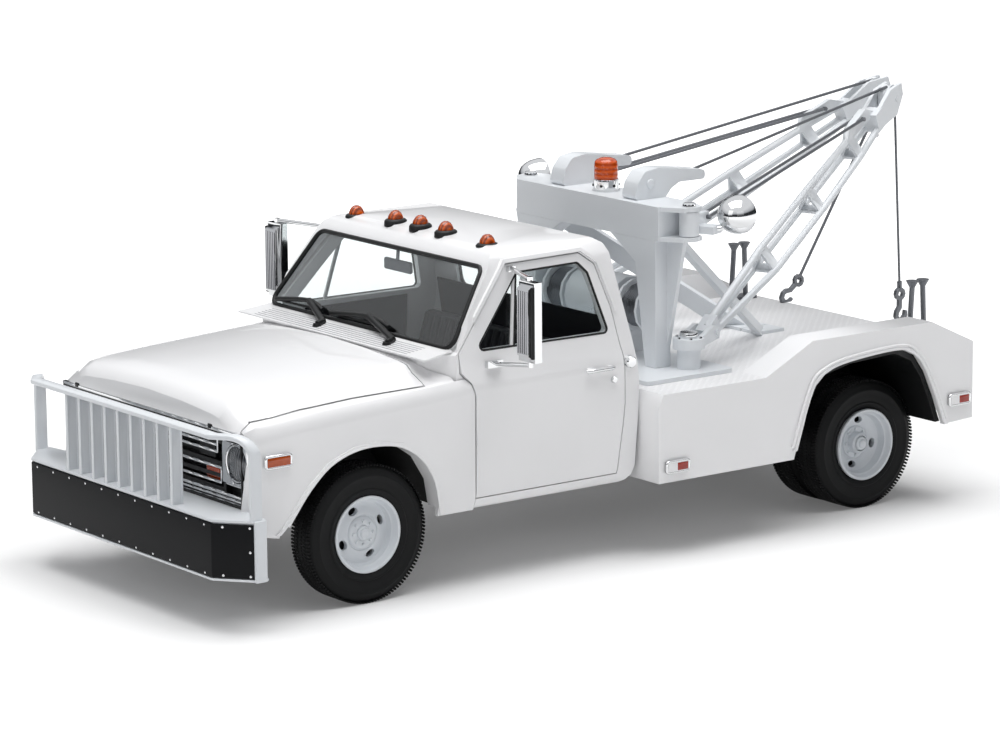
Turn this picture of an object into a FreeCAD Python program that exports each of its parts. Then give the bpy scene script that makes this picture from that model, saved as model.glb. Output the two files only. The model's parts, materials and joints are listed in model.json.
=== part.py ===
import FreeCAD, Part
import os
import math

os.makedirs("parts", exist_ok=True)

# Scale model of a one ton wrecker truck with twin swinging booms.
# Millimetres. +X runs to the nose, +Y to the driver's side, +Z up, ground at Z = 0.
# All sizes below are measured from the middle of the rear axle; SHIFT_X centres the part.
# Cab, nose and mast are drawn for a front axle at FRONT_DRAWN and move with the wheelbase.

SHIFT_X = -92.75
WHEELBASE = 207.0
FRONT_DRAWN = 207.0
TYRE_R = 22.3
TYRE_W = 11.4
RIM_R = 12.3
TYRE_OUT_Y = 53.0
DUAL_GAP = 2.4
CAB_BACK = 103.5
WALL = 1.6
FLOOR_Z = 31.0
DOOR_T = 3.0
DOOR_GAP = 0.35
BODY_HALF = 66.5
DECK_Z = 55.0
HUMP_Z = 64.9
BOX_W = 12.0
TAIL_X = -37.0
LEVER_INSET = 18.7
MAST_FRONT = 79.5
MAST_BACK = 63.3
BEAM_HALF = 38.8
BEAM_LOW = 99.4
BEAM_TOP = 110.9
SWING_X = 70.0
SWING_Y = 43.3
BOOM_PAST_TAIL = 39.0
BOOM_TIP_Z = 129.0
FOOT_PIN_R = 1.1
TUBE_R = 1.1
ROPE_R = 0.42
ROPE_OUT = 4.85
HOOK_EYE_Z = 56.6
LEFT_SWING = 21.5
RIGHT_SWING = 6.0
BUMPER_X = 266.0
WING_X = BUMPER_X - 9.0
WING_HALF = 64.4
BUMPER_HALF = WING_HALF - 10.8
BUMPER_LOW = 18.2
BUMPER_TOP = 35.3
GUARD_TOP = 64.0
LAMP_Z = 49.4
LAMP_Y = 43.75
RAIL_Y = 16.5
RAIL_W = 3.8
RAIL_TOP = 30.8
BASE_SCREW_X = 121.0
BASE_SCREW_STEP = 62.0
BASE_SCREW_R = 1.3
WHEEL_SIDES = 24
BAR_COUNT = 9
BAR_PITCH = 7.9
NOSE_CLEAR = 0.3

X_AXIS = FreeCAD.Vector(1, 0, 0)
Y_AXIS = FreeCAD.Vector(0, 1, 0)
Z_AXIS = FreeCAD.Vector(0, 0, 1)
FRONT_SHIFT = WHEELBASE - FRONT_DRAWN
BOOM_REACH = SWING_X + FRONT_SHIFT - TAIL_X + BOOM_PAST_TAIL
PIECES = {}


def vec(x, y, z):
    return FreeCAD.Vector(x, y, z)


def box(x0, x1, y0, y1, z0, z1):
    return Part.makeBox(x1 - x0, y1 - y0, z1 - z0, vec(x0, y0, z0))


def eased(points, radius, steps=3):
    """Closed outline whose corners are turned in flat steps, so many for each right angle."""
    count = len(points)
    loop = []
    for i in range(count):
        before, corner, after = points[i - 1], points[i], points[(i + 1) % count]
        a = (before - corner).normalize()
        b = (after - corner).normalize()
        half = a.getAngle(b) / 2
        spread = math.pi - 2 * half
        room = 0.45 * min((before - corner).Length, (after - corner).Length)
        reach = min(radius / math.tan(half), room) if spread > 0.2 else 0.0
        if reach < 0.05:
            loop.append(corner)
            continue
        centre = corner + (a + b).normalize() * (reach / math.cos(half))
        first = corner + a * reach - centre
        last = corner + b * reach - centre
        parts = max(1, round(steps * spread / (math.pi / 2)))
        for n in range(parts + 1):
            swing = spread * n / parts
            arm = first * math.sin(spread - swing) + last * math.sin(swing)
            loop.append(centre + arm * (1 / math.sin(spread)))
    return loop


def prism(points, direction, radius=0.0, steps=3):
    loop = eased(points, radius, steps) if radius > 0 else points
    return Part.Face(Part.makePolygon(loop + [loop[0]])).extrude(direction)


def side_prism(outline, y0, y1, radius=0.0, steps=3):
    """Outline of (x, z) pairs carried across from y0 to y1."""
    return prism([vec(x, y0, z) for x, z in outline], vec(0, y1 - y0, 0), radius, steps)


def plan_prism(outline, z0, z1, radius=0.0, steps=3):
    """Outline of (x, y) pairs carried up from z0 to z1."""
    return prism([vec(x, y, z0) for x, y in outline], vec(0, 0, z1 - z0), radius, steps)


def front_prism(outline, x0, x1, radius=0.0, steps=3):
    """Outline of (y, z) pairs carried along from x0 to x1."""
    return prism([vec(x0, y, z) for y, z in outline], vec(x1 - x0, 0, 0), radius, steps)


def both_sides(half):
    """Mirror a half outline of (y, z) pairs that runs from the middle top to the middle bottom."""
    return half + [(-y, z) for y, z in reversed(half) if y > 0.001]


def bar(start, end, radius, sides=6):
    """Thin round bar between two points, in flat sides because such bars repeat."""
    return revolved([(0.0, 0.0), (radius, 0.0), (radius, (end - start).Length), (0.0, (end - start).Length)],
                    start, end - start, sides)


def strap(start, end, width, thick, across=Y_AXIS):
    """Flat bar between two points; width lies along the direction given."""
    line = end - start
    side = (across - line * (across.dot(line) / line.dot(line))).normalize()
    other = line.cross(side).normalize()
    corner = start - side * (width / 2) - other * (thick / 2)
    loop = [corner, corner + side * width, corner + side * width + other * thick, corner + other * thick]
    return prism(loop, line)


def fused(shapes):
    whole = shapes[0]
    if len(shapes) > 1:
        whole = whole.multiFuse(shapes[1:])
    return whole.removeSplitter()


def mirrored(shape):
    return shape.mirror(vec(0, 0, 0), Y_AXIS)


def turned(shape, degrees, centre, axis=Z_AXIS):
    copy = shape.copy()
    copy.rotate(centre, axis, degrees)
    return copy


def flat_faces(corners):
    """One face over the corners, or two where four of them don't lie flat."""
    loop = [p for n, p in enumerate(corners) if (p - corners[n - 1]).Length > 1e-6]
    if len(loop) < 3:
        return []
    loops = [loop]
    if len(loop) == 4:
        normal = (loop[1] - loop[0]).cross(loop[2] - loop[0]).normalize()
        if abs(normal.dot(loop[3] - loop[0])) > 1e-5:
            loops = [loop[:3], [loop[0], loop[2], loop[3]]]
    return [Part.Face(Part.makePolygon(points + [points[0]])) for points in loops]


def skinned(rings, round_again=False):
    """Solid between rings with the same number of points, its ends closed or joined to each other."""
    faces = []
    pairs = list(zip(rings, rings[1:]))
    if round_again:
        pairs.append((rings[-1], rings[0]))
    else:
        faces += flat_faces(rings[0]) + flat_faces(rings[-1])
    for first, second in pairs:
        for i in range(len(first)):
            j = (i + 1) % len(first)
            faces += flat_faces([first[i], first[j], second[j], second[i]])
    shell = Part.makeShell(faces)
    shell.sewShape()
    solid = Part.makeSolid(shell)
    if solid.Volume < 0:
        solid.reverse()
    return solid


def revolved(outline, start, along, sides):
    """Outline of (radius, distance) pairs turned about a line in flat steps; flats lie on the radius."""
    axis = vec(along.x, along.y, along.z).normalize()
    across = axis.cross(X_AXIS) if abs(axis.x) < 0.9 else axis.cross(Y_AXIS)
    u = across.normalize()
    v = axis.cross(u)
    reach = 1 / math.cos(math.pi / sides)
    rings = []
    for radius, distance in outline:
        ring = []
        for i in range(sides):
            angle = 2 * math.pi * (i + 0.5) / sides
            arm = u * math.cos(angle) + v * math.sin(angle)
            ring.append(start + axis * distance + arm * (radius * reach))
        rings.append(ring)
    return skinned(rings, True)


def spun(outline, centre, sides=WHEEL_SIDES):
    """Outline of (radius, y) pairs turned about a cross axis through (x, z)."""
    return revolved(outline, vec(centre[0], 0, centre[1]), Y_AXIS, sides)


def keep(name, shape):
    PIECES[name] = shape


def keep_front(name, shape):
    """Keep a piece that moves with the front axle."""
    moved = shape.copy()
    moved.translate(vec(FRONT_SHIFT, 0, 0))
    keep(name, moved)


# Cab

def cab_section(inset):
    half = [(0, 107.8 - inset), (24, 107.3 - inset), (47.4 - inset, 105.4 - inset), (51.0 - inset, 88.0),
            (54.2 - inset, 71.5), (56.4 - inset, 64.5), (56.6 - inset, 46.0), (56.0 - inset, 30.0),
            (54.6 - inset, 24.8 + inset), (0, 24.8 + inset)]
    return front_prism(both_sides(half), 90, 200, 7.0, 4)


def cab_profile(inset):
    outline = [(CAB_BACK + inset, 24.8 + inset), (174.0 - inset, 24.8 + inset), (174.0 - inset, 69.5 + inset),
               (184.6 - inset, 70.5 + inset), (184.6 - inset, 75.4 - inset),
               (157.4 - inset * 1.2, 105.4 - inset),
               (134.0, 107.8 - inset), (118.0, 106.9 - inset), (108.4 + inset, 104.4 - inset),
               (102.6 + inset, 72.0), (101.6 + inset, 58.0)]
    return side_prism(outline, -70, 70, 6.0, 3)


def cab_plan(inset):
    outline = [(CAB_BACK - 4, -(60 - inset)), (167.3, -(60 - inset)), (167.3, -(54.0 - inset)),
               (173.0, -(53.6 - inset)),
               (181.5 - inset, -(44.0 - inset)), (185.5 - inset, -20), (185.5 - inset, 20),
               (181.5 - inset, 44.0 - inset), (173.0, 53.6 - inset), (167.3, 54.0 - inset), (167.3, 60 - inset),
               (CAB_BACK - 4, 60 - inset)]
    low = plan_prism(outline, 20, 76.0)
    upper_edge = [(CAB_BACK - 4, -60), (160, -60), (160, 60), (CAB_BACK - 4, 60)]
    top = [(CAB_BACK - 4, -60), (172.0, -60), (174.0, -52.0), (181.5 - inset, -44.0), (185.5 - inset, -20),
           (185.5 - inset, 20), (181.5 - inset, 44.0), (174.0, 52.0), (172.0, 60), (CAB_BACK - 4, 60)]
    high = plan_prism(top, 76.0, 120)
    return low.fuse(high)


def cab_block(inset):
    return cab_section(inset).common(cab_profile(inset)).common(cab_plan(inset))


DOOR_LINE = [(110.6, 28.8), (167.2, 28.8), (167.2, 62.0), (168.4, 66.0), (171.6, 69.5), (171.9, 75.5),
             (149.8, 101.0), (120.0, 101.4), (114.6, 97.5), (110.0, 83.0), (107.6, 68.0), (107.6, 52.0)]
DOOR_GLASS_LINE = [(165.2, 75.6), (145.6, 98.2), (121.0, 98.6), (117.4, 95.0), (111.8, 75.2)]


def grown(outline, amount):
    """Outline pushed outward by an amount, corner by corner."""
    points = [vec(x, 0, z) for x, z in outline]
    wire = Part.makePolygon(points + [points[0]])
    wider = wire.makeOffset2D(amount, 2)
    return [(v.Point.x, v.Point.z) for v in wider.OrderedVertexes]


def door_opening():
    return side_prism(grown(DOOR_LINE, DOOR_GAP), 30, 70)


def glass_strip(depth_out, depth_in, outline):
    """Slice of the cab skin between two depths, cut to an outline on the left side."""
    skin = cab_section(depth_out).cut(cab_section(depth_in))
    return skin.common(side_prism(outline, 30, 70))


def drip_rail():
    """Gutter that stands out of the cab skin above the door, down the pillar in front of it."""
    skin = cab_section(-0.9).cut(cab_section(0.3))
    strip = side_prism(grown(DOOR_LINE, 1.9), 30, 70).cut(side_prism(grown(DOOR_LINE, 0.8), 30, 70))
    return skin.common(strip).common(box(100, 165.0, 30, 70, 82.0, 104.0))


SCREEN_SLOPE = [(186.0, 74.2), (158.6, 104.4)]


def screen_frame(low, high, half_low, half_high, depth_out, depth_in):
    """Slab along the raked windscreen between two heights; widths differ low and high."""
    (x0, z0), (x1, z1) = SCREEN_SLOPE
    run = vec(x1 - x0, 0, z1 - z0)
    run.normalize()
    normal = vec(run.z, 0, -run.x)
    start = vec(x0, 0, z0) + run * low - normal * depth_in
    end = vec(x0, 0, z0) + run * high - normal * depth_in
    loop = [start + Y_AXIS * half_low, start - Y_AXIS * half_low]
    loop += [end - Y_AXIS * half_high, end + Y_AXIS * half_high]
    return prism(loop, normal * (depth_in - depth_out), 3.0)


def rail_notch(x, side):
    """Room for one chassis rail where it passes a cross wall near x."""
    middle = side * RAIL_Y
    half = RAIL_W / 2 + 0.3
    return box(x - 6.0, x + 3.0, middle - half, middle + half, 20.0, FLOOR_Z)


def make_cab():
    shell = cab_block(0).cut(cab_block(WALL))
    shell = shell.cut(box(CAB_BACK + WALL, 180.0, -51.0, 51.0, 20, FLOOR_Z))
    for side in (-1, 1):
        shell = shell.cut(rail_notch(CAB_BACK, side))
    firewall = box(171.0, 173.6, -52, 52, FLOOR_Z, 71.5)
    cowl = box(172.0, 183.0, -42, 42, 70.3, 72.0).common(cab_plan(0))
    shell = fused([shell, firewall, cowl])
    opening = door_opening()
    shell = shell.cut(opening).cut(mirrored(opening))
    screen = screen_frame(3.4, 35.8, 47.4, 43.4, -8, 12)
    rear = side_prism([(96, 77.0), (116, 77.0), (116, 96.6), (96, 96.6)], -38, 38)
    shell = shell.cut(screen).cut(rear)
    floor = box(CAB_BACK + 1, 173, -52.0, 52.0, FLOOR_Z, FLOOR_Z + WALL)
    sill = box(CAB_BACK + 1, 173, 50.9, 51.9, 25.4, FLOOR_Z + 0.2)
    gutter = drip_rail().common(cab_profile(-0.5))
    trim = [floor, sill, mirrored(sill), gutter, mirrored(gutter)] + roof_lamps()
    keep_front("cab_shell", fused([shell] + trim))


def make_screens():
    glass = screen_frame(3.45, 35.75, 47.35, 43.35, 0.8, 1.7)
    keep_front("windscreen_glass", glass)
    rear = front_prism([(-37.9, 77.1), (37.9, 77.1), (37.9, 96.5), (-37.9, 96.5)], 96, 118)
    skin = cab_profile(0.5).cut(cab_profile(1.3))
    rear = rear.common(skin).common(box(96, 116, -60, 60, 70, 100))
    keep_front("rear_window_glass", rear)


def make_doors():
    block = cab_section(0).cut(cab_section(DOOR_T)).common(cab_profile(0.0))
    door = block.common(side_prism(DOOR_LINE, 30, 70))
    window = side_prism(DOOR_GLASS_LINE, 30, 70, 1.5)
    door = door.cut(window)
    divider = side_prism([(150.0, 74.8), (151.2, 74.8), (146.8, 98.6), (145.6, 98.6)], 30, 70)
    divider = divider.common(cab_section(0.2)).cut(cab_section(1.05))
    glass = glass_strip(1.1, 1.9, DOOR_GLASS_LINE)
    glass = glass.common(side_prism(grown(DOOR_GLASS_LINE, -0.05), 30, 70, 1.5))
    handle = fused([box(113.0, 123.0, 57.0, 57.9, 63.6, 65.0), box(121.4, 123.0, 56.0, 57.4, 63.4, 65.2),
                    box(113.0, 114.6, 56.0, 57.4, 63.6, 65.0)])
    mirror = make_mirror()
    door = fused([door, divider, handle])
    for side, flip in (("left", False), ("right", True)):
        for label, shape in (("door", door), ("door_glass", glass), ("door_mirror", mirror)):
            keep_front(label + "_" + side, mirrored(shape) if flip else shape)


def make_mirror():
    head = side_prism([(155.6, 74.2), (158.4, 74.2), (158.4, 99.8), (155.6, 99.8)], 67.0, 75.4)
    head = head.fuse(side_prism([(158.4, 75.4), (160.0, 76.4), (160.0, 97.6), (158.4, 98.6)], 68.2, 74.2))
    top = bar(vec(148.2, 49.4, 99.8), vec(157.0, 71.2, 100.6), 0.65, 6)
    top_post = bar(vec(157.0, 71.2, 99.0), vec(157.0, 71.2, 101.3), 0.9, 6)
    low = bar(vec(159.0, 55.6, 71.2), vec(157.0, 71.2, 73.0), 0.65, 6)
    low_post = bar(vec(157.0, 71.2, 72.3), vec(157.0, 71.2, 74.8), 0.9, 6)
    foot = box(156.6, 162.6, 54.8, 56.4, 70.2, 72.4)
    clip = box(146.8, 149.6, 48.85, 50.2, 98.9, 100.6)
    return fused([head, top, top_post, low, low_post, foot, clip])


# Nose

NOSE_SHOULDER = [(0, 0), (22, 0.6), (40, 1.9), (44, 2.6), (47, 4.8), (52, 6.9), (54.4, 8.4), (55.6, 10.4),
                 (56.2, 13.4)]
NOSE_STATIONS = [(167.7, 75.9, 56.0, 24.8), (186.0, 75.0, 56.0, 24.8), (228.0, 72.7, 56.0, 25.8),
                 (242.0, 71.7, 55.7, 26.8),
                 (249.0, 70.7, 54.7, 28.0), (252.4, 69.0, 53.4, 28.8), (254.0, 66.6, 52.0, 29.2)]


def nose_ring(x, rise, half_width, low):
    """Section of the nose at x: crown height, half width and bottom height."""
    spread = half_width / 56.0
    half = [(y * spread, rise - drop) for y, drop in NOSE_SHOULDER]
    half += [(half_width, low + 4.0), (half_width - 1.4, low), (0, low)]
    return [vec(x, y, z) for y, z in both_sides(half)]


def nose_block(inset):
    rings = []
    for x, rise, half_width, low in NOSE_STATIONS:
        back = inset if x > 253 else 0.0
        rings.append(nose_ring(x - back, rise - inset, half_width - inset, low))
    return skinned(rings)


BONNET_LINE = [(185.6, 67.3), (212.0, 66.7), (232.0, 65.6), (256.0, 63.2)]
LIP_LOW = 59.8
LIP_HALF = 50.6
LID_GAP = 0.4
ARCH_LINE = [(181.6, 20.0), (181.7, 25.5), (183.6, 36.5), (188.6, 44.6), (196.0, 49.6), (205.0, 51.4),
             (214.5, 50.8), (223.5, 47.4), (231.0, 41.0), (237.0, 33.6), (241.4, 27.6), (241.4, 20.0)]


def bonnet_room(gap):
    """Space over the parting line, with the lip that hangs in front of the grille."""
    outline = [(x, z - gap) for x, z in BONNET_LINE] + [(256, 84), (185.6, 84)]
    outline[0] = (BONNET_LINE[0][0] - gap, outline[0][1])
    outline[-1] = (BONNET_LINE[0][0] - gap, 84)
    lip = box(249.4 - gap, 258, -LIP_HALF - gap, LIP_HALF + gap, LIP_LOW - gap, LIP_LOW + 6.2)
    return side_prism(outline, -80, 80).fuse(lip)


def arch_lip():
    """Rolled edge round the front wheel opening."""
    ring = side_prism(grown(ARCH_LINE[1:-1], 1.3), 50, 80).cut(side_prism(ARCH_LINE, 50, 80))
    return ring.common(nose_block(-0.6)).common(box(160, 260, 50, 80, 27.8, 60))


def make_nose():
    outer = nose_block(0)
    inner = nose_block(WALL)
    low = box(160, 260, -70, 70, 10, 24.7)
    hollow = inner.fuse(box(167.0, 252.0, -52.2, 52.2, 20, 40))
    skin = outer.cut(hollow)
    front = box(250.6, 258.0, -50.8, 50.8, 35.8, 61.0)
    valance = side_prism([(249.8, 29.2), (251.4, 28.4), (252.2, 35.6), (250.4, 35.6)], -52.4, 52.4)
    arch = side_prism(ARCH_LINE, 20, 80)
    clip = skin.cut(bonnet_room(LID_GAP)).cut(front)
    half_room = [(160, 54.3), (173.1, 54.0), (181.8, 44.3), (185.8, 20.2)]
    room = half_room + [(x, -y) for x, y in reversed(half_room)]
    cab_room = plan_prism(room, 66.0, 90.0).fuse(box(160, 174.4, -54.2, 54.2, 20, 69.1))
    clip = clip.cut(cab_room).cut(arch).cut(mirrored(arch)).cut(low)
    clip = clip.cut(side_prism(grown(DOOR_LINE, DOOR_GAP), -80, 80))
    back_top = side_prism([(168, 75.0), (186, 75.0), (186, 90), (168, 90)], -80, 80)
    clip = clip.cut(back_top)
    wells = box(186.0, 246.0, -54.6, 54.6, 52.6, 53.8).cut(box(180, 250, -38, 38, 50, 56))
    lip = arch_lip()
    clip = fused([clip, wells.common(outer), valance, lip, mirrored(lip)])
    marker = box(238.6, 246.8, 54.2, 56.9, 49.8, 53.4)
    clip = fused([clip, marker, mirrored(marker)])
    keep_front("front_clip", clip)
    keep_front("bonnet", skin.common(bonnet_room(0.0)))


def make_grille():
    shell = box(246.0, 253.2, -50.4, 50.4, 36.1, 59.2).cut(box(247.4, 254, -49.6, 49.6, 36.9, 58.4))
    parts = [shell]
    for z in (57.2, 54.2, 47.4, 43.4, 39.4):
        parts.append(box(247.3, 249.4, -37.0, 37.0, z, z + 1.3))
    for side in (-1, 1):
        post = box(247.3, 249.8, 36.4, 37.8, 36.8, 58.5)
        lamp = box(247.3, 248.8, 21.5, 30.5, 49.0, 54.0)
        parts += [post, lamp] if side > 0 else [mirrored(post), mirrored(lamp)]
    keep_front("grille", fused(parts).common(nose_block(WALL + 0.3)))
    lens = [(0.0, 0.0), (5.75, 0.0), (5.75, 3.4), (5.0, 3.4), (5.0, 1.7), (3.0, 2.65), (0.0, 3.15)]
    lamp = revolved(lens, vec(247.45, LAMP_Y, LAMP_Z), X_AXIS, 18)
    keep_front("headlamp_left", lamp)
    keep_front("headlamp_right", mirrored(lamp))


# Push bumper

def bumper_line(back, out):
    """Plan line of the bumper face pushed back by a distance."""
    return [(WING_X - back, -(WING_HALF + out)), (BUMPER_X - back, -(BUMPER_HALF + out * 0.5)),
            (BUMPER_X - back, BUMPER_HALF + out * 0.5), (WING_X - back, WING_HALF + out)]


def bumper_band(front, rear, z0, z1):
    outline = bumper_line(front, 0) + list(reversed(bumper_line(rear, 0)))
    return plan_prism(outline, z0, z1)


def make_bumper():
    face = bumper_band(1.4, 3.0, BUMPER_LOW, BUMPER_TOP)
    top = bumper_band(0.0, 12.0, BUMPER_TOP - 1.5, BUMPER_TOP)
    bottom = bumper_band(0.0, 8.0, BUMPER_LOW - 1.2, BUMPER_LOW + 0.2)
    ends = []
    for side in (-1, 1):
        plate = box(WING_X - 12.0, WING_X, WING_HALF - 0.3, WING_HALF + 1.3, BUMPER_LOW - 1.2, BUMPER_TOP)
        ends.append(plate if side > 0 else mirrored(plate))
    brackets = []
    for side in (-1, 1):
        arm = box(246.1, BUMPER_X - 2.0, RAIL_Y - RAIL_W / 2, RAIL_Y + RAIL_W / 2, 24.0, 28.1)
        brackets.append(arm if side > 0 else mirrored(arm))
    shield = fused([face, top, bottom] + ends).cut(nose_block(-NOSE_CLEAR))
    keep_front("push_bumper", fused([shield] + brackets))
    pad = bumper_band(0.2, 1.35, BUMPER_LOW + 0.4, BUMPER_TOP - 1.7)
    pad = pad.common(box(240, 270, -WING_HALF + 0.5, WING_HALF - 0.5, 0, 60))
    keep_front("bumper_pad", pad)


def make_guard():
    x = BUMPER_X - 2.4
    top_rail = bumper_band(1.0, 3.4, GUARD_TOP - 3.6, GUARD_TOP)
    top_rail = top_rail.common(box(240, 270, -BUMPER_HALF - 3, BUMPER_HALF + 3, 0, 100))
    posts = []
    for side in (-1, 1):
        outline = [(BUMPER_HALF + 2.6, GUARD_TOP), (WING_HALF - 3.0, GUARD_TOP - 4.5),
                   (WING_HALF - 0.6, GUARD_TOP - 10),
                   (WING_HALF, BUMPER_TOP), (WING_HALF - 3.4, BUMPER_TOP), (WING_HALF - 3.8, GUARD_TOP - 10.5),
                   (WING_HALF - 5.6, GUARD_TOP - 7.0), (BUMPER_HALF + 1.8, GUARD_TOP - 3.6)]
        sheet = front_prism(outline, 240, 270)
        sheet = sheet.common(bumper_band(1.0, 3.4, 0, 100))
        posts.append(sheet if side > 0 else mirrored(sheet))
    bars = []
    first = -(BAR_COUNT - 1) / 2 * BAR_PITCH
    for i in range(BAR_COUNT):
        y = first + i * BAR_PITCH
        slat = box(x - 3.4, x + 0.6, y - 2.1, y + 2.1, BUMPER_TOP, GUARD_TOP - 3.2)
        slat = slat.cut(box(x - 3.5, x - 0.6, y - 1.3, y + 1.3, BUMPER_TOP + 1.0, GUARD_TOP - 4.4))
        bars.append(slat)
    keep_front("grille_guard", fused([top_rail] + posts + bars))


# Wrecker body

BODY_FRONT = CAB_BACK - 2.1 + FRONT_SHIFT
DECK_LINE = [(BODY_FRONT, 25.6), (BODY_FRONT, 51.0), (BODY_FRONT - 2.0, DECK_Z), (TAIL_X, DECK_Z),
             (TAIL_X, 29.2), (-24.6, 28.6), (44.2, 25.6)]
BOX_LINE = [(56.0, 54.0), (56.0, DECK_Z), (35.7, HUMP_Z), (-17.7, HUMP_Z), (TAIL_X, 55.9), (TAIL_X, 54.0)]
REAR_ARCH = [(44.0, 15.0), (43.6, 25.8), (36.2, 48.6), (29.5, 54.2), (18.0, 56.6), (-3.2, 57.6),
             (-11.0, 54.0), (-15.4, 48.0), (-19.6, 39.0), (-23.5, 29.3), (-23.6, 15.0)]


def side_lamp(x, z):
    return box(x - 4.2, x + 4.2, BODY_HALF - 0.4, BODY_HALF + 1.3, z - 1.7, z + 1.7)


def make_wrecker_body():
    outer = side_prism(DECK_LINE, -BODY_HALF, BODY_HALF)
    inside = [(BODY_FRONT - WALL, 20.0), (BODY_FRONT - WALL, 50.4), (BODY_FRONT - 3.0, DECK_Z - WALL),
              (TAIL_X + WALL, DECK_Z - WALL), (TAIL_X + WALL, 20.0)]
    inner = side_prism(inside, -BODY_HALF + WALL, BODY_HALF - WALL)
    shell = outer.cut(inner)
    hump = side_prism(BOX_LINE, BODY_HALF - BOX_W, BODY_HALF)
    space = [(54.8, 50.0), (54.8, DECK_Z - 1.2), (35.3, HUMP_Z - WALL), (-17.3, HUMP_Z - WALL),
             (TAIL_X + WALL, 54.7), (TAIL_X + WALL, 50.0)]
    room = side_prism(space, BODY_HALF - BOX_W + WALL, BODY_HALF - WALL)
    shell = fused([shell, hump, mirrored(hump)]).cut(room).cut(mirrored(room))
    arch = side_prism(REAR_ARCH, BODY_HALF - 3, 80)
    shell = shell.cut(arch).cut(mirrored(arch))
    sleeper = box(-34, BODY_FRONT - 7.4, RAIL_Y - 1.5, RAIL_Y + 1.5, FLOOR_Z, DECK_Z - 1.0)
    trim = side_prism(grown(REAR_ARCH[1:-1], 1.4), BODY_HALF - 0.4, BODY_HALF + 0.7)
    trim = trim.cut(side_prism(REAR_ARCH, 50, 80)).cut(box(-40, 60, 50, 80, 0, 28.6))
    details = [sleeper, trim, side_lamp(BODY_FRONT - 7.2, 30.8), side_lamp(-30.2, 36.6)]
    details += [mirrored(d) for d in details]
    shell = fused([shell] + details)
    for side in (-1, 1):
        shell = shell.cut(rail_notch(BODY_FRONT, side))
    keep("wrecker_body", shell)
    low_cut = box(-60, 80, 20, 80, 0, 29.2)
    roof_cut = box(-60, 80, 20, BODY_HALF - BOX_W + WALL + 0.2, DECK_Z - WALL - 0.1, 80)
    liner = side_prism(REAR_ARCH[1:-1], 25.0, BODY_HALF - WALL - 0.2)
    hollow = side_prism([(x * 0.955 + 0.5, z * 0.975 - 0.6) for x, z in REAR_ARCH[1:-1]], 26.4, 70)
    liner = liner.cut(hollow).cut(low_cut).cut(roof_cut)
    keep("wheel_housing_left", liner)
    keep("wheel_housing_right", mirrored(liner))


# Mast

def make_mast():
    base = plan_prism([(95.0, -52.6), (95.0, 52.6), (58.0, 52.6), (58.0, -52.6)], DECK_Z, DECK_Z + 1.5, 2.0)
    for side in (-1, 1):
        foot = vec(SWING_X, side * SWING_Y, DECK_Z + 1.4)
        base = base.fuse(bar(foot, foot + Z_AXIS * 6.5, 3.9, 14))
    keep_front("mast_base", base.removeSplitter())
    beam = box(MAST_BACK, MAST_FRONT, -BEAM_HALF, BEAM_HALF, BEAM_LOW, BEAM_TOP)
    plates = []
    for z in (BEAM_LOW, BEAM_TOP - 1.5):
        outline = [(MAST_FRONT, BEAM_HALF - 1), (74.2, 46.0), (66.6, 46.0), (MAST_BACK, BEAM_HALF - 1)]
        plate = plan_prism(outline, z, z + 1.5)
        plate = plate.fuse(bar(vec(SWING_X, SWING_Y, z), vec(SWING_X, SWING_Y, z + 1.5), 3.6, 14))
        plate = plate.cut(bar(vec(SWING_X, SWING_Y, z - 1), vec(SWING_X, SWING_Y, z + 3), 1.32, 14))
        plates += [plate, mirrored(plate)]
    lamp_base = bar(vec(70.8, 0, BEAM_TOP - 0.1), vec(70.8, 0, BEAM_TOP + 3.95), 4.3, 16)
    beam = fused([beam, lamp_base] + plates + make_horns())
    keep_front("mast_beam", beam)
    lens = revolved([(0.0, 0.0), (4.0, 0.0), (4.0, 6.0), (3.4, 6.9), (2.4, 7.2), (0.0, 7.2)],
                    vec(70.8, 0, BEAM_TOP + 4.0), Z_AXIS, 16)
    keep_front("beacon_lens", lens)
    front = [(13.2, BEAM_LOW), (26.6, 91.0), (31.8, DECK_Z + 1.5), (37.4, DECK_Z + 1.5), (37.4, BEAM_LOW)]
    post = front_prism(front, 73.0, MAST_FRONT)
    web = front_prism([(37.0, BEAM_LOW), (46.0, BEAM_LOW), (38.2, 66.6), (37.0, 62.0)], 73.0, 74.6)
    post = fused([post, web])
    keep_front("mast_post_left", post)
    keep_front("mast_post_right", mirrored(post))
    brace = strap(vec(76.0, 36.4, 105.0), vec(2.0, 4.2, 51.0), 7.0, 1.8, vec(0.6, 0, 0.8))
    brace = brace.common(box(-10, 72.9, 0.4, 60, DECK_Z, BEAM_LOW - 0.1))
    foot = box(-1.0, 11.0, 0.4, 9.0, DECK_Z, DECK_Z + 1.2)
    brace = fused([brace, foot])
    keep_front("mast_brace_left", brace)
    keep_front("mast_brace_right", mirrored(brace))


def make_winch():
    case = bar(vec(70.0, -12, 74.0), vec(70.0, 12, 74.0), 9.0, 16)
    stand = box(63.0, 77.0, -11.0, 11.0, DECK_Z + 1.5, 70.0)
    outline = [(0.0, 11.5), (9.0, 11.5), (9.0, 12.5), (3.0, 12.5), (3.0, 14.6), (8.6, 14.6), (8.6, 15.8),
               (4.6, 15.8), (4.6, 25.0), (8.6, 25.0), (8.6, 26.2), (2.0, 26.2), (2.0, 29.0), (0.0, 29.0)]
    spool = spun(outline, (70.0, 74.0), 14)
    keep_front("winch", fused([case, stand, spool, mirrored(spool)]))


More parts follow.
